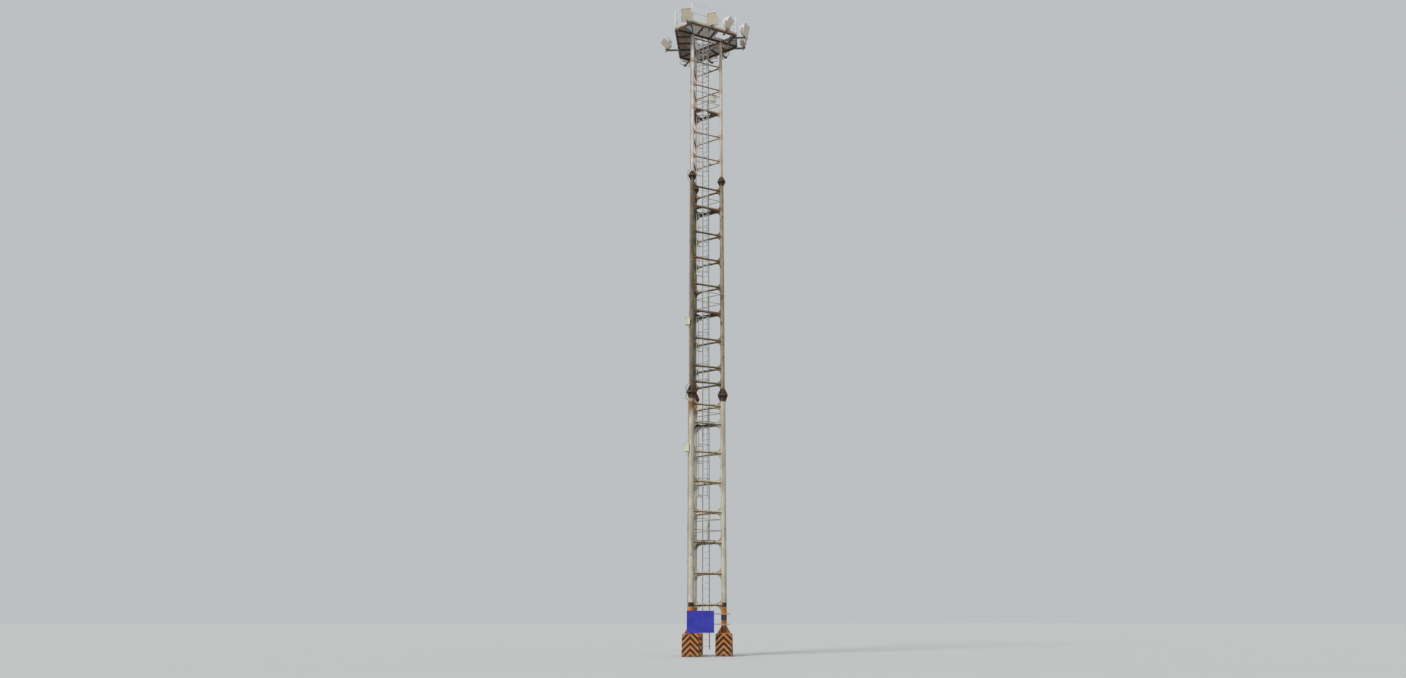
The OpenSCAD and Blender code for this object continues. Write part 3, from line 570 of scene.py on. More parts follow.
def joined(shapes):
    points, faces, start = [], [], 0
    for shapePoints, shapeFaces in shapes:
        points.append(shapePoints)
        faces += [tuple(start + k for k in face) for face in shapeFaces]
        start += len(shapePoints)
    return np.concatenate(points), faces


def link(start, end, radius, sides=8):
    # round bar from one point to another
    span = Vector(end) - Vector(start)
    onto = Matrix.Translation(start) @ span.to_track_quat("Z", "Y").to_matrix().to_4x4()
    return moved(rod(radius, span.length, sides), onto)


def bolt(size, stick=0.0, sides=12):
    # hexagon head on its washer, z up, with some thread standing out of it where it is a nut
    washer = lathe([(1.02 * size, 0), (1.05 * size, 0.03 * size), (1.05 * size, 0.16 * size),
                    (1.0 * size, 0.18 * size)], sides)
    head = lathe([(0.86 * size, 0.18 * size), (0.92 * size, 0.24 * size), (0.92 * size, 0.78 * size),
                  (0.8 * size, 0.86 * size)], 6)
    parts = [washer, head]
    if stick:
        parts.append(moved(rod(0.5 * size, stick + 0.1 * size, 8), place(z=0.76 * size)))
    return joined(parts)


class Shapes(list):
    # the shapes of one piece; put() and bolt() add one at a place in a frame
    def put(self, shape, frame, x=0.0, y=0.0, z=0.0, **turns):
        self.append(moved(shape, frame @ place(x, y, z, **turns)))

    def bolt(self, size, frame, x=0.0, y=0.0, z=0.0, stick=0.0, sides=8, **turns):
        self.put(bolt(size, stick, sides), frame, x, y, z, **turns)


def added(name, data):
    made = bpy.data.objects.new(name, data)
    bpy.context.scene.collection.objects.link(made)
    return made


origin = place()


def piece(name, shapes, finish, at=origin, body="tower", covers=()):
    # one mesh of its shapes, riding on its body; covers names the nodes that it replaces
    points, faces = moved(joined(shapes), at)
    mesh = bpy.data.meshes.new(name)
    mesh.from_pydata(points.tolist(), [], faces)
    turning = bmesh.new()
    turning.from_mesh(mesh)
    bmesh.ops.recalc_face_normals(turning, faces=turning.faces)
    turning.to_mesh(mesh)
    turning.free()
    mesh.shade_smooth()
    mesh.set_sharp_from_angle(angle=math.radians(34))
    mesh.materials.append(finish.material)
    made = added(name, mesh)
    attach(made, body)
    if covers:
        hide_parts(*covers)


def atCentre(turn):
    # frame in the tower's middle; its -y looks out over the front, and at 120 and 240 over the other faces
    return place(*centre, turn=turn)


def atLeg(leg):
    # a leg's own frame: x points from the leg to the tower's middle
    return place(*legPlaces[leg], turn=30 + 120 * leg)


def onFace(face):
    # frame of a face: x along its rungs from one leg's axis to the next
    return atCentre(120 * face) @ place(*-centre)


def section(z):
    # 0, 1 or 2 for the lower, middle or upper section at a height
    return sum(z >= joint for joint in tower["joints"])


ladderFrame = atCentre(ladderTurn)
rungHeights = [tower["firstRung"] + tower["bay"] * k for k in range(tower["rungs"]) if k not in tower["jointRungs"]]
low, high = tower["joints"]
rungHeights = sorted(rungHeights + [low - tower["endRungGap"], low + tower["endRungGap"], high - tower["endRungGap"]])

flangeBolts = {"count": 16, "reach": (0.226, 0.19), "half": 0.028, "size": 0.024, "stick": 0.014}
shapes = Shapes()
for leg in range(3):
    for reach, z in zip(flangeBolts["reach"], tower["joints"]):
        for k in range(flangeBolts["count"]):
            spoke = atLeg(leg) @ place(z=z, turn=(k + 0.5) * 360 / flangeBolts["count"])
            shapes.bolt(flangeBolts["size"], spoke, reach, z=flangeBolts["half"], sides=12, turn=7 * k)
            shapes.bolt(flangeBolts["size"], spoke, reach, z=-flangeBolts["half"], stick=flangeBolts["stick"],
                        sides=12, tilt=180)
piece("flange_bolts", shapes, finishes["boltSteel"])

anchorBolts = {"corner": 0.248, "beside": 0.105, "size": 0.036, "stick": 0.05, "washer": 0.045, "thick": 0.008}
shapes = Shapes()
steps = (-anchorBolts["corner"], -anchorBolts["beside"], anchorBolts["beside"], anchorBolts["corner"])
spots = [(a, b) for a in steps for b in steps if anchorBolts["corner"] in (abs(a), abs(b))]
half = anchorBolts["washer"]
for leg in range(3):
    base = place(*legPlaces[leg], tower["baseTop"], turn=tower["plinthTurn"])
    for k, (a, b) in enumerate(spots):
        shapes.bolt(anchorBolts["size"], base, a, b, stick=anchorBolts["stick"], sides=12, turn=11 * k)
        shapes.put(slab((-half, -half, 0), (half, half, anchorBolts["thick"]), 0.0015), base, a, b)
piece("anchor_bolts", shapes, finishes["boltSteel"])
print("bolts made")

weld = {"radius": 0.006, "points": 28, "haunch": 0.0045, "flank": 0.008}


def atEnd(points, end):
    # points at a rung's first end, or the same at its other end
    return [(tower["spacing"] - x if end else x, y, z) for x, y, z in points]


for face, side in enumerate(faceNames):
    shapes = Shapes()
    for z in rungHeights:
        legR, rungR, reach = [tower[key][section(z)] for key in ("legRadius", "rungRadius", "haunch")]
        around = np.arange(weld["points"]) * 2 * math.pi / weld["points"]
        y, up = rungR * np.cos(around), rungR * np.sin(around)
        ring = np.stack([np.sqrt(legR ** 2 - y ** 2), y, up + z], 1)
        start = legR - 0.001
        beads = []
        for sign in ((-1,) if z == rungHeights[-1] else (-1, 1)):
            for flank in (-weld["flank"], weld["flank"]):
                # up or down the leg, and along the rung
                beads.append([(start, flank, z + sign * (rungR + away)) for away in (0.004, reach - 0.01)])
                beads.append([(start + away, flank, z + sign * rungR) for away in (0.006, reach)])
        for end in (0, 1):
            shapes.append(sweep(atEnd(ring, end), weld["radius"], 6, True))
            shapes += [link(*atEnd(bead, end), weld["haunch"], 5) for bead in beads]
    piece("rung_welds_" + side, shapes, finishes["rungPaint"], onFace(face))
print("welds made")

# bars and rods of the gratings, between the frame's own bearing bars
grating = {"frameBars": 0.12, "bar": 0.004, "depth": 0.0315, "rod": 0.006, "inset": 0.01, "gap": 0.004,
           "shortest": 0.01, "beyond": 9.0}
rest = {"rungs": (2, 6, 10, 14, 18), "seatHalf": 0.01, "lift": 0.0003, "legGap": 0.015, "edge": 0.01,
        "between": 4, "rodPitch": 0.045, "rodDepth": 0.018}
hatch = {"far": faceReach - 0.2, "length": 0.64, "half": 0.33}
deck = {"between": 2, "rodPitch": 0.2, "ledge": 0.062, "hoistLow": (-1.06, 0.15), "hoistSize": (0.82, 0.64)}


def cutLine(outline, start, along):
    # the stretch of a line inside a convex outline
    low, high = -grating["beyond"], grating["beyond"]
    for a, b in zip(outline, outline[1:] + outline[:1]):
        inward = np.array([-(b - a)[1], (b - a)[0]])
        offset, slope = inward.dot(start - a), inward.dot(along)
        if abs(slope) < 1e-9:
            if offset < 0:
                return None
        elif slope > 0:
            low = max(low, -offset / slope)
        else:
            high = min(high, -offset / slope)
    return (low, high) if high > low else None


def spans(keep, cuts, start, along):
    whole = cutLine(keep, start, along)
    left = [whole] if whole else []
    for cut in cuts:
        gone = cutLine(cut, start, along)
        if gone:
            left = [(a, b) for low, high in left
                    for a, b in ((low, min(high, gone[0])), (max(low, gone[1]), high)) if b - a > grating["shortest"]]
    return left


def fineGrating(keep, cuts, frameStart, z, between=3, rodPitch=0.1, rodDepth=0.006):
    # bars along y that divide the spaces of the frame's own, and rods along x across them
    shapes = []
    reach = abs(np.array(keep)).max()
    pitch = grating["frameBars"] / between
    half = grating["bar"] / 2
    for k in range(int((reach - frameStart) / pitch) + 1):
        x = frameStart + k * pitch
        if k % between:
            for low, high in spans(keep, cuts, np.array([x, 0.0]), np.array([0.0, 1.0])):
                shapes.append(slab((x - half, low, z), (x + half, high, z + grating["depth"])))
    top = z + grating["depth"]
    half = grating["rod"] / 2
    for k in range(int(2 * reach / rodPitch) + 1):
        y = -reach + (k + 0.4) * rodPitch
        for low, high in spans(keep, cuts, np.array([0.0, y]), np.array([1.0, 0.0])):
            shapes.append(slab((low, y - half, top - rodDepth), (high, y + half, top)))
    return shapes


def triangle(inset):
    return [(legReach - 2 * inset) * ray(210 + 120 * k) for k in range(3)]


def polygon(middle, radius, sides=24):
    return [middle + radius * ray(360 * k / sides) for k in range(sides)]


def quad(low, high, turn):
    (x0, y0), (x1, y1) = low, high
    return [turned(corner, turn) for corner in ((x0, y0), (x1, y0), (x1, y1), (x0, y1))]


def halfShort(inset):
    # half of a short side of the head's outline, when that is set in
    return (2 * (longReach - inset) - (shortReach - inset)) / slant / 2


inset = grating["inset"]
hatchHole = quad((hatch["far"] - hatch["length"] - inset, -hatch["half"] - inset),
                 (hatch["far"] + inset, hatch["half"] + inset), ladderTurn)
strips = [quad((-3, y - inset), (3, y + inset), ladderTurn) for y in (-hatch["half"], hatch["half"])]
restZ = []
for number, k in enumerate(rest["rungs"]):
    z = tower["firstRung"] + tower["bay"] * k
    s = section(z)
    restZ.append(z + math.sqrt(tower["rungRadius"][s] ** 2 - rest["seatHalf"] ** 2) + rest["lift"])
    clear = tower["legRadius"][s] + rest["legGap"] + inset
    legHoles = [polygon(legReach * ray(210 + 120 * leg), clear) for leg in range(3)]
    shapes = fineGrating(triangle(rest["edge"] + inset / 2), legHoles + [hatchHole] + strips, -legReach, restZ[-1],
                         rest["between"], rest["rodPitch"], rest["rodDepth"])
    piece("rest_grating_" + str(number + 1), shapes, finishes["gratingSteel"], atCentre(0))
seam = (grating["gap"] + inset) / 2
shapes = fineGrating(triangle(seam), [hatchHole], -legReach, tower["deckZ"], deck["between"], deck["rodPitch"])
piece("deck_grating_inner", shapes, finishes["gratingSteel"], atCentre(0))

setIn = deck["ledge"] + inset / 2
outRay, acrossRay = ray(-30), ray(60)
halfWalk = [(legReach + 2 * seam * (1 - slant)) * outRay - seam * acrossRay,
            (shortReach - setIn) * outRay - seam * acrossRay,
            (shortReach - setIn) * outRay - halfShort(setIn) * acrossRay]
keep = [np.array([-x, y]) for x, y in halfWalk] + halfWalk[::-1]
longEnd = (shortReach * outRay - halfShort(0) * acrossRay)[0]
hoistLow = (longEnd + deck["hoistLow"][0] - inset, -longReach + deck["hoistLow"][1] - inset)
hoistHigh = [low + size + 2 * inset for low, size in zip(hoistLow, deck["hoistSize"])]
for side, name in enumerate(faceNames):
    cuts = [quad(hoistLow, hoistHigh, 0)] if side == 0 else []
    shapes = fineGrating(keep, cuts, -shortReach, tower["deckZ"])
    piece("deck_grating_" + name, shapes, finishes["gratingSteel"], atCentre(120 * side))
print("gratings made")

ladder = {"x": faceReach - 0.25, "half": 0.2, "foot": 0.3, "clampRungs": 2, "clamp": 0.006, "splicePitch": 6.0,
          "splices": 5, "cage": 0.35, "cageStart": 2.2, "cageEnd": 0.25, "hoopPitch": 0.9, "hoopEnd": 0.025,
          "hoopBolts": (100, 140, 180, 220, 260)}
shapes = Shapes()
for k in range(0, tower["rungs"], ladder["clampRungs"]):
    z = tower["firstRung"] + tower["bay"] * k
    r = tower["rungRadius"][section(z)]
    wrap = r + ladder["clamp"]
    plateX = faceReach - r - 0.009
    for y in (-ladder["half"], ladder["half"]):
        # plate on the stringer and a round clamp about the rung, with its nuts
        shapes.append(slab((plateX - 0.004, y - 0.02, z - r - 0.024), (plateX + 0.004, y + 0.02, z + r + 0.024), 0.001))
        bend = [(faceReach + wrap * math.cos(a), y + 0.012, z + wrap * math.sin(a))
                for a in np.linspace(-math.pi / 2, math.pi / 2, 13)]
        first, last = [(plateX - 0.03, y + 0.012, z + up) for up in (-wrap, wrap)]
        shapes.append(sweep([first, *bend, last], 0.0055, 8))
        for up in (-wrap, wrap):
            shapes.bolt(0.012, origin, plateX - 0.004, y + 0.012, z + up, sides=10, roll=-90)
for k in range(ladder["splices"]):
    z = ladder["foot"] + ladder["splicePitch"] * (k + 1)
    for side in (-1, 1):
        y, out = side * (ladder["half"] + 0.005), side * (ladder["half"] + 0.013)
        shapes.append(slab((ladder["x"] - 0.024, y, z - 0.13), (ladder["x"] + 0.024, out, z + 0.13), 0.0015))
        for up in (-0.095, -0.045, 0.045, 0.095):
            shapes.bolt(0.014, origin, ladder["x"], out, z + up, sides=10, tilt=-90 * side)
piece("ladder_fixings", shapes, finishes["boltSteel"], at=ladderFrame)

# ribbed covers on the treads
tread = {"first": 0.45, "pitch": 0.3, "count": 116, "half": 0.183, "wide": 0.018, "up": 0.0135, "down": 0.008,
         "wall": 0.0025, "ribPitch": 0.0315}
w, up, down, wall = [tread[key] for key in ("wide", "up", "down", "wall")]
outline = [(w - 0.005, up), (w, up - 0.005), (w, -down), (w - wall, -down), (w - wall, up - 0.006),
           (w - 0.006, up - wall)]
cover = [prism(outline + [(-x, z) for x, z in outline[::-1]], -tread["half"], tread["half"], 1)]
for y in np.arange(-tread["half"] + 0.018, tread["half"], tread["ribPitch"]):
    cover.append(slab((-w + 0.004, y - 0.003, up - 0.001), (w - 0.004, y + 0.003, up + 0.0025)))
cover = joined(cover)
shapes = [moved(cover, place(ladder["x"], z=tread["first"] + k * tread["pitch"])) for k in range(tread["count"])]
piece("ladder_tread_covers", shapes, finishes["treadPaint"], ladderFrame)

stringerFront = ladder["x"] - 0.03
cageX = stringerFront - math.sqrt(ladder["cage"] ** 2 - ladder["half"] ** 2)
shapes = Shapes()
for z, nextZ in zip(restZ, restZ[1:] + [tower["frameZ"]]):
    low = z + tower["grateDepth"] + ladder["cageStart"] + ladder["hoopEnd"]
    high = nextZ - ladder["cageEnd"] - ladder["hoopEnd"]
    for up in np.linspace(low, high, math.ceil((high - low) / ladder["hoopPitch"]) + 1):
        for turn in ladder["hoopBolts"]:
            shapes.bolt(0.01, place(cageX, z=up, turn=turn), ladder["cage"] + 0.006, roll=90)
        for side in (-1, 1):
            spot = place(stringerFront, side * ladder["half"], up)
            shapes.put(slab((-0.004, -0.03, -0.02), (0.0, 0.03, 0.02), 0.001), spot)
            shapes.bolt(0.01, spot, -0.004, side * -0.018, roll=-90)
piece("cage_bolts", shapes, finishes["boltSteel"], at=ladderFrame)
print("ladder fixings made")

railing = {"post": 0.024, "sleeve": 0.029, "mid": 0.62, "top": 1.2, "inset": 0.03, "sleeveHalf": 0.028,
           "clipStart": 0.42, "clipEnd": 0.3, "clipPitch": 0.55}


def hexCorners(inset):
    # corners of the head's outline, two to a leg
    return [(shortReach - inset) * ray(210 + 120 * k) + side * halfShort(inset) * ray(300 + 120 * k)
            for k in range(3) for side in (-1, 1)]


a, b, c = hexCorners(railing["inset"])[1:4]
post, sleeve, reach = railing["post"], railing["sleeve"], railing["sleeveHalf"]
cap = lathe([(post + 0.0015, -0.03), (post + 0.002, 0.0), (0.022, 0.007), (0.014, 0.0115), (0.004, 0.013)], 20)
band = lathe([(0.0245, -reach), (sleeve, 0.004 - reach), (sleeve, reach - 0.004), (0.0245, reach)], 20)
shapes = Shapes()
for side in range(3):
    for share in (0, 0.5, 1):
        spot = atCentre(120 * side) @ place(*(a + (b - a) * share), tower["deckTop"])
        shapes.put(cap, spot, z=railing["top"])
        for z in (railing["mid"], railing["top"] - 0.06):
            shapes.put(band, spot, z=z)
            shapes.bolt(0.009, spot, y=sleeve - 0.001, z=z, tilt=-90)
        shapes.put(slab((-0.07, -0.027, -0.031), (0.07, 0.027, -0.023), 0.0015), spot)
        for x in (-0.048, 0.048):
            shapes.bolt(0.012, spot, x, z=-0.023)
            shapes.bolt(0.008, spot, x, 0.003, 0.06, tilt=-90)
for side in range(3):
    for start, end in ((a, b), (b, c)):
        # clips between the toe board and the deck
        x, y = end - start
        line = atCentre(120 * side) @ place(*start, tower["deckTop"], turn=math.degrees(math.atan2(y, x)))
        for along in np.arange(railing["clipStart"], math.hypot(x, y) - railing["clipEnd"], railing["clipPitch"]):
            shapes.put(slab((-0.02, 0.003, -0.002), (0.02, 0.009, 0.1), 0.001), line, along)
            shapes.put(slab((-0.02, 0.003, -0.002), (0.02, 0.05, 0.004), 0.001), line, along)
            shapes.bolt(0.008, line, along, 0.009, 0.07, tilt=-90)
piece("handrail_fittings", shapes, finishes["handrailPaint"])
print("handrail fittings made")

# head frame: cap bolts, angle cleats where a cross beam meets the main beam and the rim, and corner splices
headParts = {"capBolts": 8, "capReach": 0.105, "capUnder": 0.028, "capSize": 0.014, "web": 0.0035,
             "beams": ((-0.65, 0.15, 1.36), (-0.65, 0.0, 0.65), (-0.65, 0.0, 0.65))}
web = headParts["web"]
shapes = Shapes()
for leg in range(3):
    under = atLeg(leg) @ place(z=tower["frameZ"] - headParts["capUnder"])
    for k in range(headParts["capBolts"]):
        spoke = under @ place(turn=(k + 0.5) * 360 / headParts["capBolts"])
        shapes.bolt(headParts["capSize"], spoke, headParts["capReach"], stick=0.012, sides=10, tilt=180)
for side, beams in enumerate(headParts["beams"]):
    for x in beams:
        for y, turn in ((-faceReach, 180), (-longReach + 0.0035, 0)):
            spot = atCentre(120 * side) @ place(x, y, tower["frameZ"], turn=turn)
            for flank in (-1, 1):
                shapes.put(slab((flank * web, 0.0035, 0.02), (flank * (web + 0.052), 0.0115, 0.1), 0.001), spot)
                shapes.put(slab((flank * web, 0.004, 0.02), (flank * (web + 0.008), 0.06, 0.1), 0.001), spot)
                for up in (0.042, 0.078):
                    shapes.bolt(0.012, spot, flank * (web + 0.032), 0.0115, up, tilt=-90)
                    shapes.bolt(0.012, spot, flank * (web + 0.008), 0.038, up, roll=90 * flank)
for x, y in hexCorners(0.004):
    bend = atCentre(0) @ place(x, y, tower["frameZ"] + 0.02, turn=math.degrees(math.atan2(y, x)) + 90)
    for turn, aside, outside, tilt in ((150, -0.011, -0.0005, 90), (30, 0.004, 0.0075, -90)):
        leaf = bend @ place(turn=turn) @ place(y=aside)
        shapes.put(slab((0, -0.0005, 0), (0.13, 0.0075, 0.08), 0.001), leaf)
        for along in (0.05, 0.1):
            for up in (0.02, 0.06):
                shapes.bolt(0.011, leaf, along, outside, up, tilt=tilt)
piece("frame_fixings", shapes, finishes["headFramePaint"])
print("frame fixings made")

# side, whether on a short side, place along it, length of the arm, turn of the stirrup, tilt
lights = (
    (0, True, 0.5, 0.35, 24, 35), (0, False, -0.3, 0.35, -36, 26), (0, False, 0.64, 0.35, 40, 35),
    (1, True, -0.515, 0.45, -27, 12), (1, True, 0.555, 0.4, 18, 17), (2, False, -0.46, 0.62, 26, 50),
    (1, False, -0.35, 0.4, -20, 34), (1, False, 0.64, 0.4, 16, 38), (2, True, 0.0, 0.52, 0, 42),
)
lamp = {"halfWide": 0.31, "halfHigh": 0.35, "front": 0.142, "frameDepth": 0.028, "frameFace": 0.045, "back": -0.12,
        "backHalf": 0.15, "fins": 9, "finHeight": 0.045, "finHalf": 0.0025, "pivotX": 0.324, "pivotHeight": 0.44,
        "seat": 0.012, "seatTop": 0.0083}


def roundedLoop(halfX, halfZ, radius, y, perCorner=5):
    # rounded rectangle facing along y
    points = []
    for k, (sx, sz) in enumerate(((1, 1), (-1, 1), (-1, -1), (1, -1))):
        x, z = sx * (halfX - radius), sz * (halfZ - radius)
        for a in np.linspace(0, math.pi / 2, perCorner) + k * math.pi / 2:
            points.append((x + radius * math.cos(a), y, z + radius * math.sin(a)))
    return np.array(points)


def lightHousing():
    w, h = [lamp[key] - lamp["frameFace"] / 2 for key in ("halfWide", "halfHigh")]
    back, half = lamp["back"], lamp["backHalf"]
    loops = [roundedLoop(w - 0.006, h - 0.006, 0.03, 0.118), roundedLoop(w, h, 0.034, 0.112),
             roundedLoop(w, h, 0.034, 0.092), roundedLoop(w - 0.003, h - 0.006, 0.036, 0.083)]
    for share in (0.1, 0.3, 0.5, 0.7, 0.9):
        loops.append(roundedLoop(w - 0.003 - 0.014 * share, h - 0.006 + (half + 0.012 - h) * share, 0.04,
                                 0.083 + (back + 0.016 - 0.083) * share))
    loops += [roundedLoop(w - 0.019, half + 0.002, 0.04, back + 0.006), roundedLoop(w - 0.03, half - 0.01, 0.034, back)]
    shapes = Shapes([loft(loops)])
    tip = back - lamp["finHeight"]
    lowerFin = [(back + 0.004, -half + 0.012), (back + 0.03, -half - 0.028), (back + 0.012, -half - 0.03),
                (tip + 0.01, -half + 0.002), (tip, -half + 0.014)]
    fin = lowerFin + [(y, -z) for y, z in lowerFin[::-1]]
    for k in range(lamp["fins"]):
        x = 2 * w * ((k + 0.5) / lamp["fins"] - 0.5)
        shapes.append(prism(fin, x - lamp["finHalf"], x + lamp["finHalf"], 0))
    boss = lathe([(0.085, 0.0), (0.082, 0.02), (0.076, 0.023), (0.04, 0.026), (0.03, 0.032), (0.024, 0.036),
                  (0.024, 0.0555)], 32)
    for side in (-1, 1):
        shapes.put(boss, origin, side * (w - 0.02), roll=90 * side)
    return shapes


def lightBezel():
    w, h, y, face = [lamp[key] for key in ("halfWide", "halfHigh", "front", "frameFace")]
    back = y - lamp["frameDepth"]
    profile = ((0.006, back, 0.03), (0.0, back + 0.004, 0.034), (0.0, y - 0.012, 0.034), (0.004, y - 0.007, 0.03),
               (0.012, y - 0.004, 0.026), (face - 0.012, y - 0.004, 0.02), (face - 0.004, y - 0.008, 0.016),
               (face, y - 0.014, 0.012), (face, back + 0.004, 0.012), (face - 0.01, back, 0.016))
    loops = [roundedLoop(w - inset, h - inset, radius, depth) for inset, depth, radius in profile]
    shapes = Shapes([loft(loops, True)])
    spots = [(x, z) for x in (-0.24, -0.08, 0.08, 0.24) for z in (0.022 - h, h - 0.022)]
    spots += [(x, z) for z in (-0.26, -0.09, 0.09, 0.26) for x in (0.022 - w, w - 0.022)]
    for x, z in spots:
        shapes.bolt(0.0075, origin, x, y - 0.005, z, sides=10, tilt=-90)
    clip = slab((-0.004, -0.03, -0.022), (0.004, 0.014, 0.022), 0.002)
    lug = slab((-0.003, -0.012, -0.012), (0.003, 0.004, 0.012), 0.001)
    for side in (-1, 1):
        # clips that hold the frame, and the hinges below
        for z in (-0.2, 0.2):
            shapes.put(clip, origin, side * (w + 0.003), y - 0.012, z)
            shapes.put(lug, origin, side * (w - 0.018), y - 0.04, z)
        shapes.put(rod(0.008, 0.07, 10), origin, side * 0.2 - 0.035, y - 0.026, -h - 0.002, roll=90)
    return shapes


def lightGear():
    # ballast box with lid, screws and glands, and the pin ends with their nuts
    back = lamp["back"]
    shapes = Shapes([slab((-0.118, back - 0.084, -0.088), (0.118, back + 0.002, 0.088), 0.008),
                     slab((-0.12, back - 0.09, -0.09), (0.12, back - 0.078, 0.09), 0.004)])
    for x in (-0.105, 0.0, 0.105):
        for z in (-0.076, 0.076):
            shapes.bolt(0.006, origin, x, back - 0.085, z, tilt=90)
    for x in (-0.06, 0.06):
        gland = place(x, back - 0.045, -0.088, tilt=180)
        shapes.put(lathe([(0.017, 0), (0.018, 0.002), (0.018, 0.012), (0.015, 0.014)], 6), gland)
        shapes.put(lathe([(0.0125, 0.012), (0.0125, 0.022), (0.009, 0.03), (0.005, 0.03)], 14), gland)
    for side in (-1, 1):
        axle = place(side * (lamp["pivotX"] - 0.04), roll=90 * side)
        shapes.put(rod(0.012, 0.06, 16), axle)
        shapes.put(lathe([(0.0235, 0.0483), (0.0238, 0.049), (0.0238, 0.051), (0.0232, 0.0515)], 20), axle)
        shapes.put(lathe([(0.019, 0.0515), (0.0205, 0.053), (0.0205, 0.059), (0.018, 0.0603)], 6), axle)
    return shapes


def lightReflector():
    # dish with its inner side, and the lamp on its holder
    dish = [roundedLoop(*loop) for loop in (
        (0.13, 0.06, 0.03, -0.05), (0.2, 0.2, 0.03, 0.0), (0.262, 0.3, 0.02, 0.112), (0.255, 0.293, 0.018, 0.112),
        (0.193, 0.193, 0.026, 0.004), (0.123, 0.054, 0.026, -0.042))]
    tube = lathe([(0.008, -0.02), (0.016, -0.018), (0.016, 0.03), (0.021, 0.034), (0.023, 0.06), (0.023, 0.2),
                  (0.02, 0.222), (0.01, 0.23), (0.002, 0.231)], 20)
    return [loft(dish), moved(tube, place(-0.12, 0.03, 0.0, roll=90)),
            slab((-0.165, 0.0, -0.03), (-0.118, 0.055, 0.03), 0.004)]


def lightGlass():
    w, h = [lamp[key] - lamp["frameFace"] + 0.001 for key in ("halfWide", "halfHigh")]
    return [loft([roundedLoop(w, h, 0.012, y) for y in (0.121, 0.127)])]


def lightSeal():
    w, h = [lamp[key] - lamp["frameFace"] - 0.001 for key in ("halfWide", "halfHigh")]
    return [sweep(roundedLoop(w, h, 0.012, 0.1285, 4), 0.0028, 6, True)]


lightMakers = {"housing": lightHousing, "bezel": lightBezel, "gear": lightGear, "reflector": lightReflector,
               "glass": lightGlass, "seal": lightSeal}
lightShapes = {part: joined(make()) for part, make in lightMakers.items()}
shapes = Shapes()
for number, (side, short, offset, reach, turn, tilt) in enumerate(lights):
    out, angle = (shortReach, 210) if short else (longReach, -90)
    seat = atCentre(angle - 90 + 120 * side) @ place(-offset, out)
    pivot = seat @ place(y=reach, z=tower["frameZ"] + lamp["seat"] + lamp["pivotHeight"], turn=turn)
    body = "floodlight_" + str(number + 1)
    for part, shape in lightShapes.items():
        piece(body + "_" + part, [shape], lightFinishes[part], pivot @ place(tilt=-tilt), body,
              (body,) if part == "housing" else ())
    # arm: end cap, cleats on the rim beam and ribs; stirrup: bolts on the seat
    arm = seat @ place(z=tower["frameZ"])
    seatBolts = lamp["seatTop"] - lamp["pivotHeight"]
    shapes.put(slab((-0.043, reach + 0.039, -0.083), (0.043, reach + 0.044, 0.0), 0.002), arm)
    for flank in (-1, 1):
        shapes.put(slab((flank * 0.04, -0.06, -0.07), (flank * 0.048, 0.0, -0.0005), 0.001), arm)
        shapes.put(slab((flank * 0.04, -0.06, -0.008), (flank * 0.1, 0.0, -0.0005), 0.001), arm)
        shapes.bolt(0.014, arm, flank * 0.078, -0.03, -0.008, sides=10, tilt=180)
        shapes.bolt(0.014, arm, flank * 0.048, -0.03, -0.045, sides=10, roll=90 * flank)
        shapes.bolt(0.014, pivot, flank * 0.05, z=seatBolts, sides=10)
        rib = [(flank * 0.04, 0.0), (flank * 0.072, 0.0), (flank * 0.04, -0.05)]
        for along in (-0.05, 0.045):
            shapes.put(prism(rib, reach + along, reach + along + 0.006, 1), arm)
    shapes.bolt(0.02, pivot, z=seatBolts, sides=12)
piece("light_arm_fixings", shapes, finishes["galvanisedSteel"])
print("floodlights made")

# the conduit is a swept tube with bends, sockets, saddles and glands
conduit = {"turn": 160.0, "radius": 0.021, "bend": 0.1, "bottom": 1.442, "top": 34.0215, "stand": 0.035,
           "flange": (0.298, 0.258), "rib": (0.32, 0.24), "pitch": 1.5, "clip": 0.03, "length": 3.0}
serviceBox = {"heights": (9.85, 16.55), "stand": 0.008, "deep": 0.1, "half": 0.15, "tall": 0.38}
insides = [radius + conduit["stand"] for radius in tower["legRadius"]]
knees = [(insides[0], conduit["bottom"])]
for joint, (z, out, rib) in enumerate(zip(tower["joints"], conduit["flange"], conduit["rib"])):
    below, above = insides[joint:joint + 2]
    knees += [(below, z - rib - out + below), (out, z - rib), (out, z + rib), (above, z + rib + out - above)]
knees.append((insides[2], conduit["top"]))


def rounded(corners, radius, steps=6):
    # a path through the corners with an arc of this radius at each bend
    corners = [np.array(corner, float) for corner in corners]
    path = [corners[0]]
    for before, corner, after in zip(corners, corners[1:], corners[2:]):
        back = (before - corner) / np.linalg.norm(before - corner)
        ahead = (after - corner) / np.linalg.norm(after - corner)
        half = math.acos(float(np.clip(back.dot(ahead), -1, 1))) / 2
        middle = corner + (back + ahead) / np.linalg.norm(back + ahead) * radius / math.sin(half)
        first, last = [corner + way * radius / math.tan(half) - middle for way in (back, ahead)]
        spread = math.pi - 2 * half
        for share in np.linspace(0, 1, steps + 1):
            blend = first * math.sin((1 - share) * spread) + last * math.sin(share * spread)
            path.append(middle + blend / math.sin(spread))
    return path + [corners[-1]]


def outAt(z):
    # the conduit's distance from the leg's axis at a height
    return float(np.interp(z, [knee[1] for knee in knees], [knee[0] for knee in knees]))


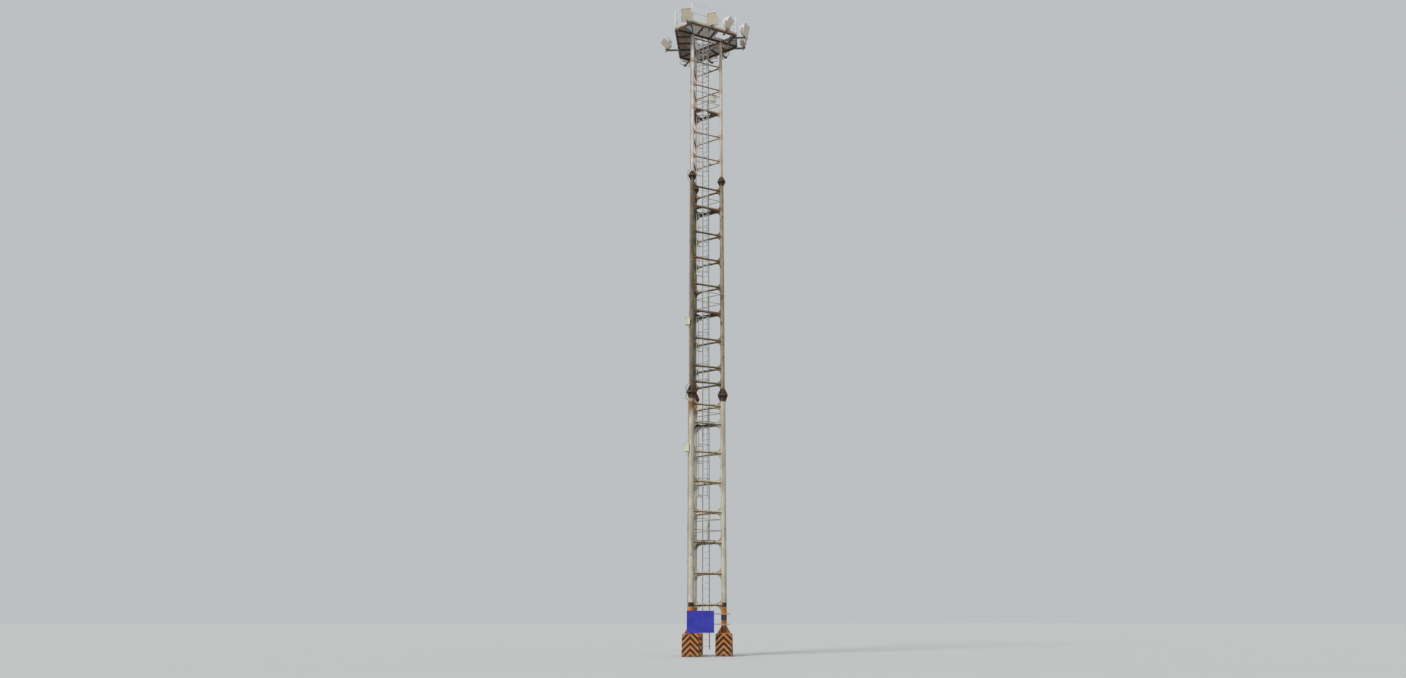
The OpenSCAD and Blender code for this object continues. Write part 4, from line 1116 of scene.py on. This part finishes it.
def saddle(out, legRadius, z):
    # spacer bar on the leg, strap over the conduit and two screws
    high, foot = z + conduit["clip"], out - conduit["radius"] + 0.0005
    shapes = Shapes([slab((legRadius - 0.004, -0.026, z), (out - conduit["radius"] + 0.002, 0.026, high), 0.0015),
                     slab((legRadius - 0.004, -0.0445, z), (legRadius + 0.013, 0.0445, high), 0.0015)])
    strap = [[(out + r * math.cos(a), r * math.sin(a)) for r in (0.0205, 0.0245)]
             for a in np.linspace(-math.pi / 2, math.pi / 2, 13)]
    for sign in (1, -1):
        # a foot at the strap's end, first at one side and then at the other
        strap.append([(foot, sign * 0.0205), (foot + 0.004, sign * 0.0245)])
        strap.append([(foot, sign * 0.0445), (foot + 0.004, sign * 0.0445)])
        strap.reverse()
    low, top = z + 0.003, high - 0.003
    shapes.append(loft([np.array([(*inner, low), (*outer, low), (*outer, top), (*inner, top)])
                        for inner, outer in strap]))
    for y in (-0.035, 0.035):
        shapes.bolt(0.007, origin, foot + 0.004, y, z + conduit["clip"] / 2, roll=90)
    return shapes


shapes = Shapes()
breaks = [conduit["bottom"], *(z + up for z in serviceBox["heights"] for up in (0, serviceBox["tall"])), conduit["top"]]
for low, high in zip(breaks[::2], breaks[1::2]):
    inner = [(x, 0.0, z) for x, z in knees if low < z < high]
    run = [(outAt(low), 0.0, low)] + inner + [(outAt(high), 0.0, high)]
    shapes.append(sweep(rounded(run, conduit["bend"]), conduit["radius"], 16))
socket = lathe([(0.0215, -0.03), (0.0245, -0.029), (0.0255, -0.026), (0.0255, 0.026), (0.0245, 0.029), (0.0215, 0.03)])
spots = [z + away for _, z in knees[1:-1] for away in (-0.1, 0.1)]
spots += [z for z in np.arange(conduit["bottom"] + conduit["length"], conduit["top"] - 0.5, conduit["length"])
          if min(abs(z - knee[1]) for knee in knees) > 0.3]
for z in spots:
    if abs(outAt(z + 0.04) - outAt(z - 0.04)) < 1e-6:
        shapes.put(socket, origin, outAt(z), z=z)
for k, z in enumerate(breaks):
    # locknut and hub where the conduit ends or enters a box
    end = place(outAt(z), z=z, tilt=180 * (k % 2))
    shapes.put(lathe([(0.027, 0.0), (0.0285, 0.0015), (0.0285, 0.011), (0.027, 0.0125)], 6), end)
    shapes.put(lathe([(0.0235, 0.012), (0.026, 0.013), (0.026, 0.034), (0.0225, 0.038)]), end)
for s in range(3):
    for z in np.arange(knees[4 * s][1] + conduit["pitch"] / 4, knees[4 * s + 1][1] + 1e-6, conduit["pitch"]):
        if not any(low - 0.06 < z < low + serviceBox["tall"] + 0.03 for low in serviceBox["heights"]):
            shapes += saddle(insides[s], tower["legRadius"][s], z)
atConduit = place(turn=conduit["turn"])
piece("conduit_run", shapes, finishes["conduitPaint"], at=atConduit, covers=("conduit",))
print("conduit made")

# service boxes: hood, door, hinges, locks, mounting feet and glands; the third is on the top guard rail
topBox = {"low": (1.2138, 0.0413), "rail": 1.084}
half, deep, tall = [serviceBox[key] for key in ("half", "deep", "tall")]
boxes = [atConduit @ place(tower["legRadius"][section(z)] + serviceBox["stand"] + deep, z=z) @ place(turn=90)
         for z in serviceBox["heights"]]
topZ = restZ[-1] + tower["grateDepth"] + topBox["rail"] - tall
boxes.append(place(topBox["low"][0] + half, topBox["low"][1] + deep, topZ, turn=180))
hood = [(-deep - 0.026, tall - 0.006), (-deep - 0.024, tall - 0.003), (-deep + 0.004, tall + 0.0035),
        (deep + 0.002, tall + 0.009), (deep + 0.002, tall + 0.006), (-deep + 0.004, tall),
        (-deep - 0.0225, tall - 0.009)]
cheek = [(-deep - 0.024, tall - 0.004), (deep + 0.002, tall + 0.006), (deep + 0.002, tall - 0.016),
         (-deep - 0.02, tall - 0.012)]
doors, metal = Shapes(), Shapes()
for box in boxes:
    # the door looks along -y of the box's own frame
    doors.put(slab((0.012 - half, -deep - 0.009, 0.014), (half - 0.012, 0.002 - deep, tall - 0.02), 0.004), box)
    doors.put(slab((0.05 - half, -deep - 0.0115, 0.06), (half - 0.05, -deep - 0.006, tall - 0.07), 0.003), box)
    doors.put(prism(hood, -half - 0.006, half + 0.006, 0), box)
    for x in (-half - 0.006, half + 0.0045):
        doors.put(prism(cheek, x, x + 0.0015, 0), box)
    for z in (0.07, tall - 0.085):
        # hinges at one side, quarter-turn locks at the other
        metal.put(rod(0.006, 0.045), box, 0.004 - half, -deep - 0.006, z)
        metal.put(slab((0.004, -0.0115, 0.004), (0.034, -0.008, 0.041), 0.0008), box, -half, -deep, z)
        lock = box @ place(half - 0.03, -deep - 0.0085, z + 0.02, tilt=90)
        metal.put(lathe([(0.013, 0), (0.013, 0.003), (0.0105, 0.0045), (0.0105, 0.01), (0.0085, 0.0115)], 20), lock)
        metal.put(slab((-0.003, -0.0085, 0.0), (0.003, 0.0085, 0.0145), 0.001), lock)
    for x in (-0.085, -0.03, 0.085):
        gland = box @ place(x, deep - 0.135, tilt=180)
        metal.put(lathe([(0.016, 0), (0.017, 0.0015), (0.017, 0.011), (0.015, 0.0125)], 6), gland)
        metal.put(lathe([(0.0125, 0.0115), (0.013, 0.013), (0.013, 0.021), (0.0095, 0.029), (0.004, 0.0295)]), gland)
    metal.bolt(0.007, box, half, 0.02, 0.03, stick=0.006, roll=90)
    metal.put(slab((half - 0.001, 0.008, 0.012), (half + 0.002, 0.032, 0.05), 0.0006), box)
piece("service_box_doors", doors, finishes["boxPaint"])
piece("service_box_fittings", metal, finishes["galvanisedSteel"])
print("service boxes made")

# sign: edge trim, board bolts and the clamps' bolts
sign = {"low": (-0.39, 1.09), "high": (1.06, 2.11), "front": -0.3648, "rails": (1.462, 1.942), "rail": 0.05,
        "bolts": (-0.3, -0.08, 0.335, 0.75, 0.98), "arm": 0.056}
front = sign["front"]
(x0, z0), (x1, z1) = sign["low"], sign["high"]
trim = [(0.0, 0.0025), (0.0, -0.003), (0.0015, -0.0045), (0.0115, -0.0045), (0.013, -0.003), (0.013, 0.0025)]
shapes = Shapes([loft([np.array([(x0 + inset, front + y, z0 + inset), (x1 - inset, front + y, z0 + inset),
                                 (x1 - inset, front + y, z1 - inset), (x0 + inset, front + y, z1 - inset)])
                       for inset, y in trim], True)])
head = lathe([(0.0155, 0.0), (0.016, 0.0012), (0.0155, 0.0022), (0.0095, 0.0024), (0.009, 0.0052), (0.0065, 0.0072),
              (0.002, 0.0078)], 18)
for z in sign["rails"]:
    for x in sign["bolts"]:
        shapes.put(head, origin, x, front, z + sign["rail"] / 2, tilt=90)
piece("sign_trim", shapes, finishes["signPaint"])
shapes = Shapes()
r, high = tower["legRadius"][0], sign["rail"]
for leg in (0, 1):
    for z in sign["rails"]:
        foot = place(leg * tower["spacing"], z=z)
        for side, turn in ((-1, 180), (1, 0)):
            # bolts through the clamp's arms, and an angle from each arm to the rail
            arm = side * sign["arm"]
            for y in (-r - 0.045, -r - 0.12):
                shapes.bolt(0.011, foot, arm, y, high / 2, stick=0.008, sides=10, roll=90 * side)
            shapes.put(slab((arm, -r - 0.174, 0.003), (arm + side * 0.005, -r - 0.13, high - 0.003), 0.001), foot)
            shapes.put(slab((arm, -r - 0.1755, 0.003), (arm + side * 0.042, -r - 0.17, high - 0.003), 0.001), foot)
            shapes.bolt(0.009, foot, arm + side * 0.026, -r - 0.17, high / 2, tilt=-90)
            # ears of the clamp's two halves, at both sides of the leg
            clamp = foot @ place(turn=turn)
            for flank in (-1, 1):
                shapes.put(slab((r + 0.009, flank * 0.002, 0.0), (r + 0.05, flank * 0.01, high), 0.0012), clamp)
            shapes.bolt(0.012, clamp, r + 0.032, 0.01, high / 2, sides=10, tilt=-90)
            shapes.bolt(0.012, clamp, r + 0.032, -0.01, high / 2, stick=0.01, sides=10, tilt=90)
piece("sign_clamp_bolts", shapes, finishes["galvanisedSteel"])
print("sign fittings made")

# plinths: cast blocks with worn arrises and chipped corners
cast = {"half": 0.415, "topHalf": 0.395, "bevel": 0.045, "high": 1.05, "round": 0.01, "perSide": 22, "rows": 40,
        "chips": 26, "chipSize": 0.055, "chipDeep": 0.02, "waves": 5, "waveDeep": 0.0006, "seed": 11}


def castPlinth(chance):
    body, arris = cast["high"] - cast["bevel"], cast["round"]
    chips = []
    for k in range(cast["chips"]):
        height = chance.uniform(0.0, body)
        share = chance.uniform(0.3, 1.0)
        chips.append((k % 4, height, cast["chipSize"] * share, cast["chipDeep"] * chance.uniform(0.4, 1.0) * share))
    waves = [(chance.uniform(2, 9), chance.uniform(2, 9), chance.uniform(0, 6.3)) for _ in range(cast["waves"])]
    bevelled = [cast["high"] - share * cast["bevel"] for share in (0.75, 0.5, 0.25, 0)]
    heights = [*np.linspace(0, body, cast["rows"]), *bevelled]
    loops = []
    for z in heights:
        half = cast["half"] + (cast["topHalf"] - cast["half"]) * min(z / body, 1.0) - max(z - body, 0.0)
        loop = []
        for side in range(4):
            for along in np.linspace(-1, 1, cast["perSide"], endpoint=False):
                # closer points towards the corners, which are rounded a little
                corner = half - arris * (1 - math.sqrt(0.5))
                u = math.copysign(min(abs(math.sin(along * math.pi / 2) * half), corner), along)
                near = max(abs(u) - (half - arris), 0.0)
                v = half - arris + math.sqrt(arris ** 2 - near ** 2)
                wave = sum(math.sin(a * u * 4 + b * z + c + side) for a, b, c in waves) / cast["waves"]
                inward, pull = cast["waveDeep"] * (1 + wave), 0.0
                for spot, height, size, deep in chips:
                    # corner n lies between side n and the next
                    if spot in (side, (side - 1) % 4):
                        fromCorner = u - (half if spot == side else -half)
                        away = math.hypot(fromCorner, z - height) / size
                        dent = deep * max(1 - away ** 2, 0.0) * (0.8 + 0.2 * math.sin(90 * z + 70 * u))
                        inward += dent
                        pull += dent * max(1 - abs(fromCorner) / size, 0.0)
                loop.append((*turned((v - inward, u - math.copysign(pull, u)), 90 * side), z))
        loops.append(np.array(loop))
    return loft(loops)


chance = np.random.RandomState(cast["seed"])
for leg, name in enumerate(legNames):
    piece("plinth_cast_" + name, [castPlinth(chance)], nodeFinishes["plinth_" + name],
          place(*legPlaces[leg], turn=tower["plinthTurn"]), covers=("plinth_" + name,))
print("plinths made")

view = {"from": (-20.46, -43.67, 1.6), "pitch": 16.4, "lens": 24.6, "sensor": 36, "farthest": 2000}
camera = added("camera", bpy.data.cameras.new("camera"))
camera.data.sensor_width = view["sensor"]
camera.data.lens = view["lens"]
camera.data.clip_end = view["farthest"]
camera.location = view["from"]
heading = math.atan2(centre[0] - view["from"][0], centre[1] - view["from"][1])
camera.rotation_euler = (math.radians(90 + view["pitch"]), 0, -heading)
bpy.context.scene.camera = camera

light = {"sunTurn": -66.0, "sunHeight": 42.0, "sunStrength": 2.2, "softness": 20.0, "sky": 0.47, "backdrop": 0.54,
         "skyColour": (0.93, 0.975, 1.0, 1.0)}
sun = added("sun", bpy.data.lights.new("sun", "SUN"))
sun.data.energy = light["sunStrength"]
sun.data.angle = math.radians(light["softness"])
sun.rotation_euler = (math.radians(90 - light["sunHeight"]), 0, math.radians(light["sunTurn"]))

world = bpy.data.worlds.new("studio")
bpy.context.scene.world = world
world.use_nodes = True
sky = Shader(world.node_tree)
background = sky.tree.nodes["Background"]
# the backdrop has a strength of its own where it is seen, mirrored or looked at through something
seen, mirrored, through = [sky.node("LightPath", output="Is " + kind + " Ray")
                           for kind in ("Camera", "Glossy", "Transmission")]
strength = sky.node("MapRange", None, {"Value": seen.larger(mirrored).larger(through), "To Min": light["sky"],
                                       "To Max": light["backdrop"]})
sky.feed(background.inputs["Strength"], strength)
sky.feed(background.inputs["Color"], light["skyColour"])

ground = {"half": 900.0, "z": -0.002, "tones": (tint(202, 202, 201), tint(194, 194, 193))}
corners = [(x * ground["half"], y * ground["half"], ground["z"]) for x, y in ((-1, -1), (1, -1), (1, 1), (-1, 1))]
floorMesh = bpy.data.meshes.new("floor")
floorMesh.from_pydata(corners, [], [(0, 1, 2, 3)])
floor = added("floor", floorMesh)
floorFinish = Finish("floorPaint", 0.9)
floorFinish.set("Base Color", floorFinish.mix(floorFinish.noise(0.4, 3) * 0.3, *ground["tones"]))
floorMesh.materials.append(floorFinish.material)
bpy.context.scene.view_settings.view_transform = "Standard"
print("stage ready")
